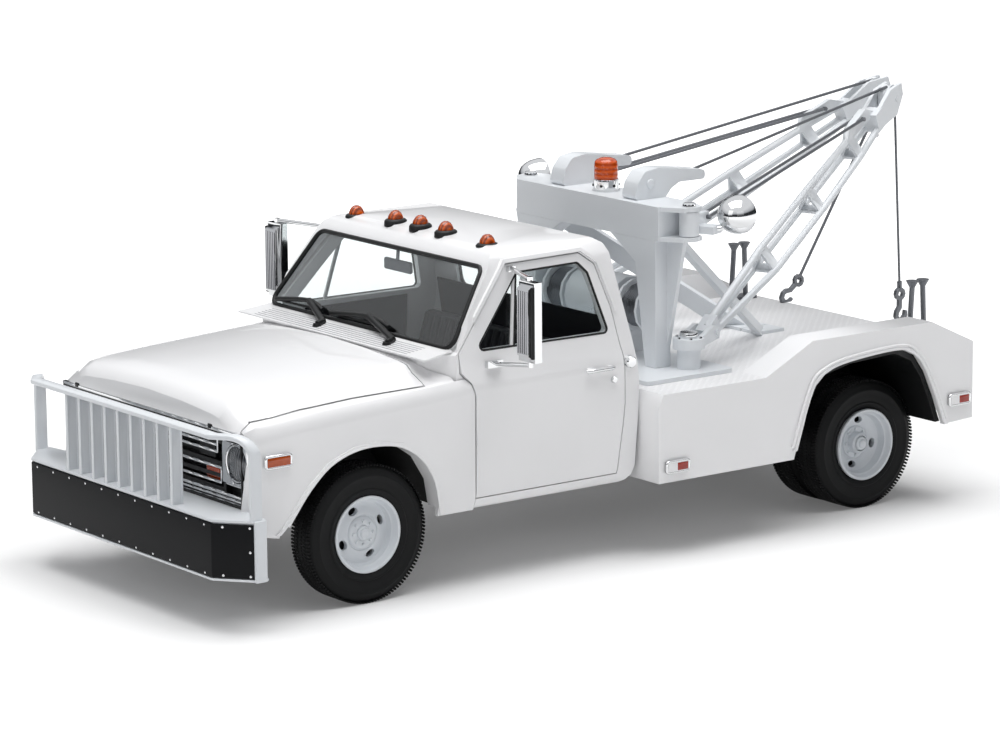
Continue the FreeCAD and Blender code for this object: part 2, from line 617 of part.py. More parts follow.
def make_horns():
    side = [(77.2, BEAM_TOP - 0.1), (75.6, 116.6), (72.6, 120.2), (67.0, 121.0), (47.0, 118.6), (46.6, 115.4),
            (58.0, 115.4), (61.4, 113.6), (63.8, BEAM_TOP - 0.1)]
    horn = side_prism(side, 16.2, 23.4, 1.5)
    mouth = side_prism([(60.0, 116.2), (60.0, 118.4), (45.0, 118.0), (45.0, 116.2)], 18.4, 21.2)
    horn = horn.cut(mouth)
    return [horn, mirrored(horn)]


def make_levers():
    y = BODY_HALF - LEVER_INSET
    parts = [box(-34.0, -22.0, y - 3.0, y + 3.0, DECK_Z, DECK_Z + 1.2)]
    for x, lean in ((-25.5, 1.2), (-30.4, -0.8)):
        parts.append(bar(vec(x + lean, y, DECK_Z + 0.6), vec(x, y, 74.0), 0.9, 8))
        parts.append(revolved([(0.0, -0.4), (0.8, 0.0), (2.2, 2.6), (0.0, 2.6)], vec(x, y, 73.0), Z_AXIS, 12))
    levers = fused(parts)
    keep("control_levers_left", levers)
    keep("control_levers_right", mirrored(levers))


# Booms are drawn straight back along -X from the left turret, then turned into place

def make_booms():
    axis = vec(SWING_X, SWING_Y, 0)
    cap = revolved([(0.0, 0.0), (5.3, 0.0), (5.3, 3.6), (3.0, 3.6), (3.0, 5.0), (0.0, 5.0)],
                   vec(SWING_X, SWING_Y, 63.2), Z_AXIS, 16)
    ears = []
    ear = [(SWING_X, 63.4), (SWING_X, 66.6), (60.0, 69.6), (55.8, 68.6), (56.4, 64.8)]
    for y in (SWING_Y - 4.2, SWING_Y + 2.6):
        ears.append(side_prism(ear, y, y + 1.6))
    foot_pin = bar(boom_point(0, -4.6, 0), boom_point(0, 4.6, 0), FOOT_PIN_R, 10)
    cap = fused([cap, foot_pin] + ears)
    knuckle = bar(vec(SWING_X, SWING_Y, BEAM_LOW + 1.7), vec(SWING_X, SWING_Y, BEAM_TOP - 1.7), 3.3, 12)
    pin = Part.makeCylinder(1.25, BEAM_TOP - BEAM_LOW + 1.0, vec(SWING_X, SWING_Y, BEAM_LOW - 0.4), Z_AXIS)
    head = bar(vec(SWING_X, SWING_Y, BEAM_TOP + 0.15), vec(SWING_X, SWING_Y, BEAM_TOP + 0.95), 2.2, 12)
    lug = box(SWING_X - 11.8, SWING_X, SWING_Y - 1.0, SWING_Y + 1.0, 104.0, 107.8)
    lamp_arm = box(SWING_X - 8.0, SWING_X - 2.0, SWING_Y + 1.0, SWING_Y + 8.0, 101.6, 104.2)
    knuckle = fused([knuckle, pin, head, lug, lamp_arm])
    lamp = make_work_lamp()
    frame = boom_frame()
    stays = boom_stays()
    parts = (("turret", cap), ("knuckle", knuckle), ("work_lamp", lamp), ("boom", frame),
             ("topping_stays", stays))
    for label, shape in parts:
        keep_front(label + "_left", turned(shape, LEFT_SWING, axis))
        keep_front(label + "_right", turned(mirrored(shape), -RIGHT_SWING, vec(SWING_X, -SWING_Y, 0)))


def boom_point(along, side, up):
    """Point in the left boom: distance from the foot pin, offset across, offset square to the boom."""
    foot = vec(SWING_X - 12.0, SWING_Y, 67.0)
    tip = vec(SWING_X - BOOM_REACH, SWING_Y, BOOM_TIP_Z)
    run = (tip - foot).normalize()
    square = run.cross(Y_AXIS)
    if square.z < 0:
        square = square * -1
    return foot + run * along + Y_AXIS * side + square * up


def boom_length():
    return (boom_point(0, 0, 0) - vec(SWING_X - BOOM_REACH, SWING_Y, BOOM_TIP_Z)).Length


def boom_frame():
    length = boom_length()
    levels = [0.0, 0.30 * length, 0.55 * length, 0.78 * length, 0.90 * length]
    widths = [1.35, 4.1, 4.1, 3.4, 2.4]
    heights = [1.6, 4.2, 4.2, 3.4, 2.6]
    pieces = []
    for i in range(len(levels) - 1):
        for side, up in ((1, -1), (-1, -1), (0, 1)):
            start = boom_point(levels[i], side * widths[i], up * heights[i])
            end = boom_point(levels[i + 1], side * widths[i + 1], up * heights[i + 1])
            pieces.append(bar(start, end + (end - start).normalize() * 0.4, TUBE_R))
    for i in (1, 2, 3):
        w, h, s = widths[i], heights[i], levels[i]
        for first, second in (((1, -1), (-1, -1)), ((1, -1), (0, 1)), ((-1, -1), (0, 1))):
            a = boom_point(s, first[0] * w, first[1] * h)
            b = boom_point(s, second[0] * w, second[1] * h)
            pieces.append(strap(a, b, 4.2, 1.0, boom_point(1, 0, 0) - boom_point(0, 0, 0)))
    foot = prism([boom_point(-3, -2.4, -2), boom_point(-3, -2.4, 2.2), boom_point(5, -2.4, 3.2),
                  boom_point(5, -2.4, -3.0)], vec(0, 4.8, 0))
    pieces.append(foot)
    block = prism([boom_point(0.885 * length, -3.6, -3.6), boom_point(0.885 * length, -3.6, 3.6),
                   boom_point(0.92 * length, -3.6, 3.6), boom_point(0.92 * length, -3.6, -3.6)], vec(0, 7.2, 0))
    pieces.append(block)
    for y in (-3.4, 2.0):
        cheek = [boom_point(0.90 * length, y, -3.2), boom_point(0.90 * length, y, 3.4),
                 boom_point(length - 3, y, 5.6), boom_point(length + 5.5, y, 3.4),
                 boom_point(length + 5.0, y, -1.0), boom_point(length - 2.0, y, -5.4)]
        pieces.append(prism(cheek, vec(0, 1.4, 0)))
    anchor = [boom_point(0.76 * length, -1.2, 3.6), boom_point(0.78 * length, -1.2, 7.4),
              boom_point(0.87 * length, -1.2, 7.4), boom_point(0.91 * length, -1.2, 3.0)]
    pieces.append(prism(anchor, vec(0, 2.4, 0)))
    pieces.append(bar(boom_point(0.905 * length, 0, -3.0), boom_point(0.905 * length, 0, -7.2), 1.0))
    pieces.append(boom_sheave())
    hole = bar(boom_point(0, -6.0, 0), boom_point(0, 6.0, 0), FOOT_PIN_R + 0.05, 10)
    return fused(pieces).cut(hole)


def boom_sheave():
    centre = boom_point(boom_length(), 0, 0)
    outline = [(0.0, -1.7), (5.0, -1.7), (5.0, -1.1), (4.0, 0), (5.0, 1.1), (5.0, 1.7), (0.0, 1.7)]
    wheel = spun([(r, centre.y + y) for r, y in outline], (centre.x, centre.z), 16)
    pin = bar(centre - Y_AXIS * 3.6, centre + Y_AXIS * 3.6, 0.95)
    return fused([wheel, pin])


def boom_stays():
    start = vec(SWING_X - 10.4, SWING_Y, 106.0)
    lines = []
    for side in (-1.65, 1.65):
        end = boom_point(0.845 * boom_length(), side, 5.6)
        lines.append(bar(start + Y_AXIS * side, end, 0.5, 6))
    pin = bar(start - Y_AXIS * 2.4, start + Y_AXIS * 2.4, 0.7)
    anchor = boom_point(0.845 * boom_length(), 0, 5.6)
    end_pin = bar(anchor - Y_AXIS * 2.4, anchor + Y_AXIS * 2.4, 0.7)
    return fused(lines + [pin, end_pin])


def round_line(x, z, radius, sides):
    """Corners of a flat-sided circle in side view."""
    turns = [2 * math.pi * n / sides for n in range(sides)]
    return [(x + radius * math.cos(a), z + radius * math.sin(a)) for a in turns]


def hook_plate(x, z, y0, y1):
    """Forged hook cut from plate: an eye whose middle is at (x, z), a shank and a curled tip below it."""
    eye = round_line(x, z, 2.4, 10)
    hole = round_line(x, z, 1.1, 8)
    curl = [(0.8, -2.0), (0.8, -4.6), (2.1, -6.2), (2.4, -8.2), (1.4, -10.2), (-0.6, -11.0), (-2.6, -10.2),
            (-3.4, -8.2), (-3.2, -6.4), (-2.2, -6.2), (-1.9, -7.9), (-0.9, -9.0), (0.3, -8.9), (0.9, -7.9),
            (0.6, -6.9), (-0.7, -5.2), (-0.8, -2.0)]
    shank = side_prism([(x + dx, z + dz) for dx, dz in curl], y0, y1)
    return side_prism(eye, y0, y1).fuse(shank).cut(side_prism(hole, y0 - 1, y1 + 1))


def make_hooks():
    """Wire and hook that hang from the left boom head, and a hook parked on the tail edge."""
    reach = BOOM_REACH + ROPE_OUT
    turn = math.radians(LEFT_SWING)
    top = vec(SWING_X - reach * math.cos(turn), SWING_Y - reach * math.sin(turn), BOOM_TIP_Z)
    low = top + vec(-3.6, 0, HOOK_EYE_Z + 2.0 - BOOM_TIP_Z)
    wire = bar(top, low, ROPE_R)
    ferrule = bar(low + vec(0.1, 0, 2.6), low + vec(0, 0, -0.4), 0.9, 8)
    hook = hook_plate(low.x, HOOK_EYE_Z, low.y - 0.7, low.y + 0.7)
    keep_front("hoist_hook_left", fused([wire, ferrule, hook]))
    eye = vec(TAIL_X - 5.6, -31.9, DECK_Z + 7.3)
    parked = turned(hook_plate(eye.x, eye.z, eye.y - 0.7, eye.y + 0.7), -50.0, eye, Y_AXIS)
    parked = parked.common(box(TAIL_X - 20, TAIL_X + 20, -40, -20, DECK_Z, 80))
    keep("tail_hook", parked)


def make_work_lamp():
    centre = vec(SWING_X - 9.5, SWING_Y + 12.4, 107.6)
    outline = [(0.0, 6.5), (1.6, 6.2), (4.2, 4.6), (6.0, 2.0), (6.6, -1.6), (6.6, -2.4), (0.0, -2.4)]
    bowl = revolved(outline, centre, X_AXIS, 16)
    arm = bar(vec(SWING_X - 5.0, SWING_Y + 6.6, 102.9), centre + vec(2.2, -1.0, -3.6), 1.0)
    return fused([bowl, arm])


# Running gear

RAIL_END = WHEELBASE + 39.0


def make_chassis():
    rails = []
    for side in (-1, 1):
        outline = [(-32.0, 24.0), (-18.0, 24.0), (-9.0, 26.0), (9.0, 26.0), (18.0, 24.0), (RAIL_END, 24.0),
                   (RAIL_END, RAIL_TOP), (-32.0, RAIL_TOP)]
        beam = side_prism(outline, RAIL_Y - RAIL_W / 2, RAIL_Y + RAIL_W / 2)
        beam = beam.cut(box(-40.0, RAIL_END + 4, RAIL_Y - RAIL_W / 2 + 1.2, 20.0, 25.2, RAIL_TOP - 1.2))
        rails.append(beam if side > 0 else mirrored(beam))
    members = []
    for x in (-30.0, 30.0, RAIL_END - 62.0, RAIL_END - 4.0):
        members.append(box(x, x + 4.0, -15.0, 15.0, 24.6, 30.0))
    for x in (BASE_SCREW_X - BASE_SCREW_STEP / 2, BASE_SCREW_X + BASE_SCREW_STEP / 2):
        member = box(x - 4.0, x + 4.0, -15.0, 15.0, 24.6, 30.0)
        members.append(member.cut(Part.makeCylinder(BASE_SCREW_R, 10, vec(x, 0, 20), Z_AXIS)))
    keep("chassis_frame", fused(rails + members))
    engine = box(190.0, 232.0, -13.6, 13.6, 31.0, 56.0)
    sump = box(196.0, 226.0, -9.0, 9.0, 24.2, 31.2)
    mounts = box(206.0, 213.0, -18.2, 18.2, 30.85, 34.0)
    keep_front("engine_block", fused([engine, sump, mounts]))
    springs = []
    for side in (-1, 1):
        leaf = [(-24.0, 24.0), (0.0, 20.5), (24.0, 24.0), (24.0, 21.8), (0.0, 18.1), (-24.0, 21.8)]
        spring = side_prism(leaf, 14.8, 18.2)
        springs.append(spring if side > 0 else mirrored(spring))
    tube = Part.makeCylinder(2.6, 88.0, vec(0, -44.0, TYRE_R), Y_AXIS)
    outline = [(2.7, -5.9), (5.4, -3.6), (6.5, 0.0), (5.4, 3.6), (2.7, 5.9), (0.0, 5.9), (0.0, -5.9)]
    ball = spun(outline, (0, TYRE_R), 12)
    keep("rear_axle", fused([tube, ball] + springs))
    beam = box(WHEELBASE - 2.4, WHEELBASE + 2.4, -33.5, 33.5, 18.1, 22.2)
    front_springs = []
    for side in (-1, 1):
        spring = box(WHEELBASE - 3.4, WHEELBASE + 3.4, 14.8, 18.2, 21.8, 24.0)
        front_springs.append(spring if side > 0 else mirrored(spring))
    eyes = [Part.makeCylinder(2.6, 4.0, vec(WHEELBASE, s * 34.6, 17.8 + 0.4), Z_AXIS) for s in (-1, 1)]
    keep("front_axle", fused([beam] + front_springs + eyes))


def make_knuckles():
    top = bar(vec(WHEELBASE, 34.6, 22.5), vec(WHEELBASE, 34.6, 24.9), 2.6, 12)
    low = bar(vec(WHEELBASE, 34.6, 15.5), vec(WHEELBASE, 34.6, 17.9), 2.6, 12)
    back = box(WHEELBASE - 2.4, WHEELBASE + 2.4, 37.4, 39.4, 15.5, 24.9)
    webs = [box(WHEELBASE - 2.4, WHEELBASE + 2.4, 34.6, 38.4, z, z + 2.4) for z in (22.5, 15.5)]
    stub = Part.makeCylinder(1.6, 10.0, vec(WHEELBASE, 39.0, TYRE_R), Y_AXIS)
    arm = box(WHEELBASE - 14.0, WHEELBASE - 1.0, 35.0, 37.0, 15.5, 17.0)
    knuckle = fused([top, low, back, stub, arm] + webs)
    keep("steering_knuckle_left", knuckle)
    keep("steering_knuckle_right", mirrored(knuckle))


def tyre_half(edge, s):
    """Bead, wall and shoulder of a tyre from its side plane inward; s points to the tyre's middle."""
    return [(RIM_R - 0.2, edge + s * 1.0), (RIM_R + 2.2, edge + s * 0.2), (RIM_R + 5.4, edge),
            (TYRE_R - 1.6, edge + s * 0.7), (TYRE_R, edge + s * 2.4)]


def tyre(inner_y, outer_y, x):
    loop = tyre_half(inner_y, 1) + list(reversed(tyre_half(outer_y, -1)))
    return spun(loop, (x, TYRE_R))


def twin_tyres(outer_y, x):
    gap_out = outer_y - TYRE_W
    gap_in = gap_out - DUAL_GAP
    floor_r = RIM_R + 1.2
    groove = list(reversed(tyre_half(gap_in, -1)[2:]))
    groove += [(floor_r, gap_in), (floor_r, gap_out)] + tyre_half(gap_out, 1)[2:]
    loop = tyre_half(gap_in - TYRE_W, 1) + groove + list(reversed(tyre_half(outer_y, -1)))
    return spun(loop, (x, TYRE_R))


def hand_holes(x, y):
    """Four hand holes through a wheel disc."""
    holes = []
    for i in range(4):
        angle = math.radians(45 + 90 * i)
        start = vec(x + 7.7 * math.cos(angle), y, TYRE_R + 7.7 * math.sin(angle))
        holes.append(bar(start, start + Y_AXIS * 10, 1.2, 6))
    return Part.makeCompound(holes)


def make_wheels():
    out = TYRE_OUT_Y
    front = spun([(1.7, 40.8), (4.0, 40.8), (4.0, 47.5), (9.6, 50.6), (10.9, 43.0), (12.05, 42.6),
                  (11.6, 50.8), (12.4, 52.05), (12.4, 52.8), (10.2, 51.8), (5.4, 49.4), (4.2, 50.8),
                  (1.7, 50.8)], (WHEELBASE, TYRE_R))
    front = front.cut(hand_holes(WHEELBASE, 46.0))
    front_tyre = tyre(out - TYRE_W, out, WHEELBASE)
    rear_rim = spun([(2.7, 31.0), (4.4, 31.0), (4.4, 41.0), (9.6, 42.6), (10.9, 28.6), (12.0, 28.4),
                     (12.0, 52.05), (12.4, 52.05), (12.4, 53.6), (10.6, 53.0), (10.5, 45.2), (9.6, 44.2),
                     (6.0, 43.4), (5.0, 46.4), (2.7, 46.8)], (0.0, TYRE_R))
    rear_rim = rear_rim.cut(hand_holes(0.0, 38.0))
    rear_tyres = twin_tyres(out, 0.0)
    for name, flip in (("left", False), ("right", True)):
        for label, shape in (("front_wheel", front), ("front_tyre", front_tyre), ("rear_wheel", rear_rim),
                             ("rear_tyres", rear_tyres)):
            keep(label + "_" + name, mirrored(shape) if flip else shape)


# Cab fittings

def roof_lamps():
    lamps = []
    for y in (-36.7, -14.1, 0.0, 14.1, 36.7):
        z = 106.8 - 0.0011 * y * y
        outline = [(0.0, -1.2), (2.5, -1.2), (2.5, 0.7), (1.9, 0.7), (1.2, 3.2), (0.0, 3.2)]
        lamps.append(revolved(outline, vec(148.0, y, z), Z_AXIS, 8))
    return lamps


def make_cab_fittings():
    low = FLOOR_Z + WALL + 0.05
    outline = [(112.0, low), (136.0, low), (137.0, 44.0), (120.5, 46.0), (113.5, 68.0), (108.5, 68.0)]
    seat = side_prism(outline, -46, 46, 1.5)
    keep_front("bench_seat", seat)
    dash = side_prism([(170.9, 52.0), (164.6, 54.0), (162.0, 66.0), (164.5, 70.2), (170.9, 70.2)], -50.5, 50.5)
    keep_front("dashboard", dash)
    lean = vec(-0.86, 0, 0.5)
    grip = round_line(10.0, 0.0, 0.75, 5)
    ring = revolved(grip, vec(150.5, 24.0, 62.5), lean, 16)
    column = revolved([(0.0, -15.0), (1.1, -15.0), (1.1, -0.9), (2.0, -0.6), (2.0, 0.9), (0.0, 0.9)],
                      vec(150.5, 24.0, 62.5), lean, 12)
    spoke = bar(vec(150.5, 14.0, 62.5), vec(150.5, 34.0, 62.5), 0.6, 6)
    keep_front("steering_wheel", fused([ring, column, spoke]))


def build():
    make_cab()
    make_screens()
    make_doors()
    make_nose()
    make_grille()
    make_bumper()
    make_guard()
    make_wrecker_body()
    make_mast()
    make_winch()
    make_levers()
    make_booms()
    make_hooks()
    make_chassis()
    make_knuckles()
    make_wheels()
    make_cab_fittings()
    for name, shape in PIECES.items():
        placed = shape.copy()
        placed.translate(vec(SHIFT_X, 0, 0))
        placed.exportStep("parts/" + name + ".step")
        solids = len(placed.Solids)
        print(name, "solids", solids, "valid", placed.isValid(), "volume", round(placed.Volume, 1))


build()
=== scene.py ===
# %% [markdown]
# A die cast scale model of a twin boom wrecker truck.
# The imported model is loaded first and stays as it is: its solids say where every panel, wheel and
# boom sits. The cells below give each of them its finish and add the fine pieces on top.

# %% Load the frame
import bpy
import bmesh
import contextlib
import json
import math
from mathutils import Matrix, Vector


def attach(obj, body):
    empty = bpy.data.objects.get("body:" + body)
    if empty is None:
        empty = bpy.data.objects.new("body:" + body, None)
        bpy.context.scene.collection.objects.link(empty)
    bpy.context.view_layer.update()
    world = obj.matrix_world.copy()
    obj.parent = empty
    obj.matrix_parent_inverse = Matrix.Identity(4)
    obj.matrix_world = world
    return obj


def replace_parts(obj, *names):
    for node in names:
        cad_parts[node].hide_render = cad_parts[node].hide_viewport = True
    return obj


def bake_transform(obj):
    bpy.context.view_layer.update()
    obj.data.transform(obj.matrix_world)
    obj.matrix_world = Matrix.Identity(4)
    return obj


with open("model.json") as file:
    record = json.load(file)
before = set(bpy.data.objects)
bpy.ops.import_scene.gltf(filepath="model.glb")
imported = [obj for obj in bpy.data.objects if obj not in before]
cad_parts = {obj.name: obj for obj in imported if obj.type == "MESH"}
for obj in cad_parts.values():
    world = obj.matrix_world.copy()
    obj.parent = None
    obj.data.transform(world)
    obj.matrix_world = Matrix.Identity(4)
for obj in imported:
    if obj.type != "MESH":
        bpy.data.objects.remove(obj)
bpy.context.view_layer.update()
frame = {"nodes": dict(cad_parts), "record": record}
NODES = frame["nodes"]
MM = 0.001
SHIFT_X = -92.75
X_AXIS, Y_AXIS, Z_AXIS = Vector((1, 0, 0)), Vector((0, 1, 0)), Vector((0, 0, 1))
print("nodes loaded:", len(NODES))

# %% [markdown]
# The drawing of the truck is measured from the middle of the rear axle, in millimetres.
# One function turns such a point into the frame's metres, so that sizes can be read off directly.

# %% Points in millimetres from the rear axle
def at(x, y, z):
    return Vector(((x + SHIFT_X) * MM, y * MM, z * MM))

def link(name, data):
    piece = bpy.data.objects.new(name, data)
    bpy.context.scene.collection.objects.link(piece)
    return piece

BODY_OF = {node: body for body, nodes in frame["record"]["behaviour"]["bodies"].items() for node in nodes}
SLOT_OF = {part["node"]: part["material_slot"] for part in frame["record"]["subparts"]}

# %% [markdown]
# The camera stands at the front left, a little above the bonnet, with a long lens. Its place was
# found by matching wheels, bumper, windscreen and mast to their pixels in the photograph.

# %% Camera
IMAGE_WIDTH = 1000
FOCAL_PIXELS = 4139.9
SENSOR = 36.0
YAW, PITCH, ROLL = 2.50244, 0.204228, -0.007479
CAMERA_PLACE = (924.54, 1087.83, 333.93)

def look(yaw, pitch, roll):
    """Columns right, up and back of a camera with these angles in radians."""
    back = Vector((math.sin(yaw) * math.cos(pitch), -math.cos(yaw) * math.cos(pitch), math.sin(pitch)))
    right = Vector((math.cos(yaw), math.sin(yaw), 0.0))
    up = back.cross(right)
    c, s = math.cos(roll), math.sin(roll)
    return c * right + s * up, c * up - s * right, back

camera_data = bpy.data.cameras.new("camera")
camera = link("camera", camera_data)
turn = Matrix(look(YAW, PITCH, ROLL)).transposed().to_4x4()
camera.matrix_world = Matrix.Translation(at(*CAMERA_PLACE)) @ turn
camera_data.sensor_width = SENSOR
camera_data.lens = FOCAL_PIXELS * SENSOR / IMAGE_WIDTH
camera_data.dof.use_dof = False
camera_data.clip_start = 0.05
camera_data.clip_end = 20.0
bpy.context.scene.camera = camera
print("lens", round(camera_data.lens, 1))

# %% [markdown]
# A catalogue picture is lit by big soft boxes over a white sweep. The floor is pale and matte, and
# only what the camera sees of it is lifted to white, so that its shadow stays under the truck.

# %% Helpers for nodes and colours
def linear(hex_colour, alpha=1.0):
    """sRGB hex to the linear values that Blender works with."""
    parts = [int(hex_colour[i:i + 2], 16) / 255 for i in (0, 2, 4)]
    return [p / 12.92 if p <= 0.04045 else ((p + 0.055) / 1.055) ** 2.4 for p in parts] + [alpha]

def add(tree, kind, links=None, **settings):
    """Adds one node: settings are its own fields, and links fills its inputs with values, sockets or nodes."""
    node = tree.nodes.new(kind)
    for key, value in settings.items():
        setattr(node, key, value)
    for key, value in (links or {}).items():
        if isinstance(value, bpy.types.Node):
            value = value.outputs[0]
        if isinstance(value, bpy.types.NodeSocket):
            tree.links.new(value, node.inputs[key])
        else:
            node.inputs[key].default_value = value
    return node

def fresh_material(name):
    material = bpy.data.materials.new(name)
    material.use_nodes = True
    material.node_tree.nodes.clear()
    return material, material.node_tree

# %% Floor, world and lamps
FLOOR_HALF = 3.0
FLOOR_DROP = 0.00002

def make_floor():
    mesh = bpy.data.meshes.new("floor")
    corners = [(x * FLOOR_HALF, y * FLOOR_HALF, 0) for x, y in ((-1, -1), (1, -1), (1, 1), (-1, 1))]
    mesh.from_pydata(corners, [], [(0, 1, 2, 3)])
    floor = link("floor", mesh)
    floor.location.z = -FLOOR_DROP
    material, tree = fresh_material("matte_studio_paper")
    path = add(tree, "ShaderNodeLightPath")
    seen = path.outputs["Is Camera Ray"]
    for ray in ("Is Glossy Ray", "Is Transmission Ray"):
        seen = add(tree, "ShaderNodeMath", {0: seen, 1: path.outputs[ray]}, operation="MAXIMUM")
    place = add(tree, "ShaderNodeTexCoord").outputs["Object"]
    grain = add(tree, "ShaderNodeTexNoise", {"Vector": place, "Scale": 1 / (0.8 * MM), "Detail": 2.0})
    tooth = add(tree, "ShaderNodeBump", {"Height": grain, "Strength": 0.03, "Distance": 0.02 * MM})
    far = add(tree, "ShaderNodeVectorMath", {0: place}, operation="LENGTH")
    amount = add(tree, "ShaderNodeMapRange", {
        "Value": far.outputs["Value"], "From Min": 0.16, "From Max": 0.6, "To Min": 0.1, "To Max": 0.85})
    lift = add(tree, "ShaderNodeMath", {0: seen, 1: amount}, operation="MULTIPLY")
    paper = add(tree, "ShaderNodeBsdfDiffuse", {"Color": linear("EDEDED"), "Normal": tooth})
    glow = add(tree, "ShaderNodeEmission", {"Color": linear("FFFFFF"), "Strength": lift})
    both = add(tree, "ShaderNodeAddShader", {0: paper, 1: glow})
    add(tree, "ShaderNodeOutputMaterial", {"Surface": both})
    mesh.materials.append(material)

def make_world():
    world = bpy.data.worlds.new("studio")
    bpy.context.scene.world = world
    world.use_nodes = True
    tree = world.node_tree
    tree.nodes.clear()
    path = add(tree, "ShaderNodeLightPath")
    rays = {0: path.outputs["Is Camera Ray"], 1: path.outputs["Is Transmission Ray"]}
    seen = add(tree, "ShaderNodeMath", rays, operation="MAXIMUM")
    place = add(tree, "ShaderNodeTexCoord")
    split = add(tree, "ShaderNodeSeparateXYZ", {0: place.outputs["Generated"]})
    ramp = add(tree, "ShaderNodeValToRGB", {0: split.outputs["Z"]})
    stops = ramp.color_ramp.elements
    stops[0].color, stops[1].color = linear("3A3C40"), linear("F4F5F7")
    stops[1].position = 0.55
    for position, hex_colour in ((0.2, "2A2B2E"), (0.32, "C4C6CA")):
        stops.new(position).color = linear(hex_colour)
    glossy = add(tree, "ShaderNodeBackground", {"Color": ramp, "Strength": 1.0})
    soft = add(tree, "ShaderNodeBackground", {"Color": linear("F4F5F8"), "Strength": 0.25})
    white = add(tree, "ShaderNodeBackground", {"Color": linear("FFFFFF"), "Strength": 1.0})
    gloss_mix = add(tree, "ShaderNodeMixShader", {0: path.outputs["Is Glossy Ray"], 1: soft, 2: glossy})
    mix = add(tree, "ShaderNodeMixShader", {0: seen, 1: gloss_mix, 2: white})
    add(tree, "ShaderNodeOutputWorld", {"Surface": mix})

def soft_box(name, place, aim, size, power):
    lamp = bpy.data.lights.new(name, "AREA")
    lamp.shape = "RECTANGLE"
    lamp.size, lamp.size_y = size
    lamp.energy = power
    direction = Vector(aim) - Vector(place)
    turn = direction.to_track_quat("-Z", "Y").to_matrix().to_4x4()
    link(name, lamp).matrix_world = Matrix.Translation(place) @ turn

make_floor()
make_world()
soft_box("box_over", (0.05, 0.1, 1.3), (0, 0, 0), (1.3, 1.1), 19.0)
soft_box("box_front", (1.3, 0.5, 0.75), (0, 0, 0.05), (0.8, 0.8), 1.4)
soft_box("box_side", (0.1, 1.5, 0.6), (0, 0, 0.05), (1.2, 0.7), 0.5)
bpy.context.scene.view_settings.view_transform = "Standard"
print("studio ready")

# %% [markdown]
# Helpers for meshes. A CAD node comes as loose triangles, so a copy of it is merged, its flat faces
# are joined again, and its edges get a small bevel that catches the light like cast and painted metal.

# %% Mesh helpers
MERGE = 0.000002

@contextlib.contextmanager
def reworked(mesh):
    """Opens a mesh for changes and writes them back at the end."""
    work = bmesh.new()
    work.from_mesh(mesh)
    yield work
    work.to_mesh(mesh)
    work.free()

def sharp_edges(work, degrees):
    return [e for e in work.edges if len(e.link_faces) == 2 and e.calc_face_angle(0.0) > math.radians(degrees)]

def smooth_by_angle(mesh, degrees):
    with reworked(mesh) as work:
        sharp = set(sharp_edges(work, degrees))
        for face in work.faces:
            face.smooth = True
        for edge in work.edges:
            edge.smooth = edge not in sharp
    return mesh

def solid_mesh(name, vertices, faces, sharp=40.0):
    """Mesh in metres with its doubles merged, its normals outward and its edges sharp above an angle."""
    mesh = bpy.data.meshes.new(name)
    mesh.from_pydata(vertices, [], faces)
    with reworked(mesh) as work:
        bmesh.ops.remove_doubles(work, verts=work.verts, dist=MERGE)
        bmesh.ops.recalc_face_normals(work, faces=work.faces)
    return smooth_by_angle(mesh, sharp)

def circle(count, first=0.0):
    """Cosine and sine of evenly spaced angles that begin at one in radians."""
    return [(math.cos(a), math.sin(a)) for a in [first + 2 * math.pi * k / count for k in range(count)]]

def band(first, second, count):
    """Faces between two rings of vertices that start at these indices."""
    return [(first + k, first + (k + 1) % count, second + (k + 1) % count, second + k) for k in range(count)]

def walls(rows, count, closed=False):
    """Faces between one ring of vertices and the next, for rows of rings with so many vertices each."""
    last = rows if closed else rows - 1
    return [face for i in range(last) for face in band(i * count, (i + 1) % rows * count, count)]

def dressed(node, finish, bevel=0.25, sharp=32.0):
    """A merged and bevelled copy of a CAD node that stands for it, with a finish."""
    mesh = NODES[node].data.copy()
    mesh.name = node + "_skin"
    with reworked(mesh) as work:
        bmesh.ops.remove_doubles(work, verts=work.verts, dist=2 * MERGE)
        bmesh.ops.dissolve_limit(work, angle_limit=math.radians(0.6), verts=work.verts, edges=work.edges)
    mesh.materials.clear()
    mesh.materials.append(finish)
    piece = link(node + "_skin", smooth_by_angle(mesh, sharp))
    if bevel > 0:
        edge = piece.modifiers.new("edge", "BEVEL")
        edge.width = bevel * MM
        edge.segments = 2
        edge.limit_method = "ANGLE"
        edge.angle_limit = math.radians(sharp)
        edge.harden_normals = True
    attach(piece, BODY_OF[node])
    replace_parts(piece, node)
    return piece

# %% [markdown]
# The body is zinc die casting sprayed with gloss white enamel: a smooth, slightly warm white with a
# clear top coat. A very fine waviness stands for the orange peel that sprayed paint dries with.

# %% Enamel paints
def surface(tree, pattern, strength, relief_mm=0.05):
    """Height and bump from a pattern: fine noise with a grain in real millimetres, or a function that builds one."""
    place = add(tree, "ShaderNodeTexCoord").outputs["Object"]
    if callable(pattern):
        height = pattern(tree, place)
    else:
        height = add(tree, "ShaderNodeTexNoise", {"Vector": place, "Scale": 1 / (pattern * MM), "Detail": 3.0})
    bump = add(tree, "ShaderNodeBump", {"Height": height, "Strength": strength, "Distance": relief_mm * MM})
    return place, height, bump

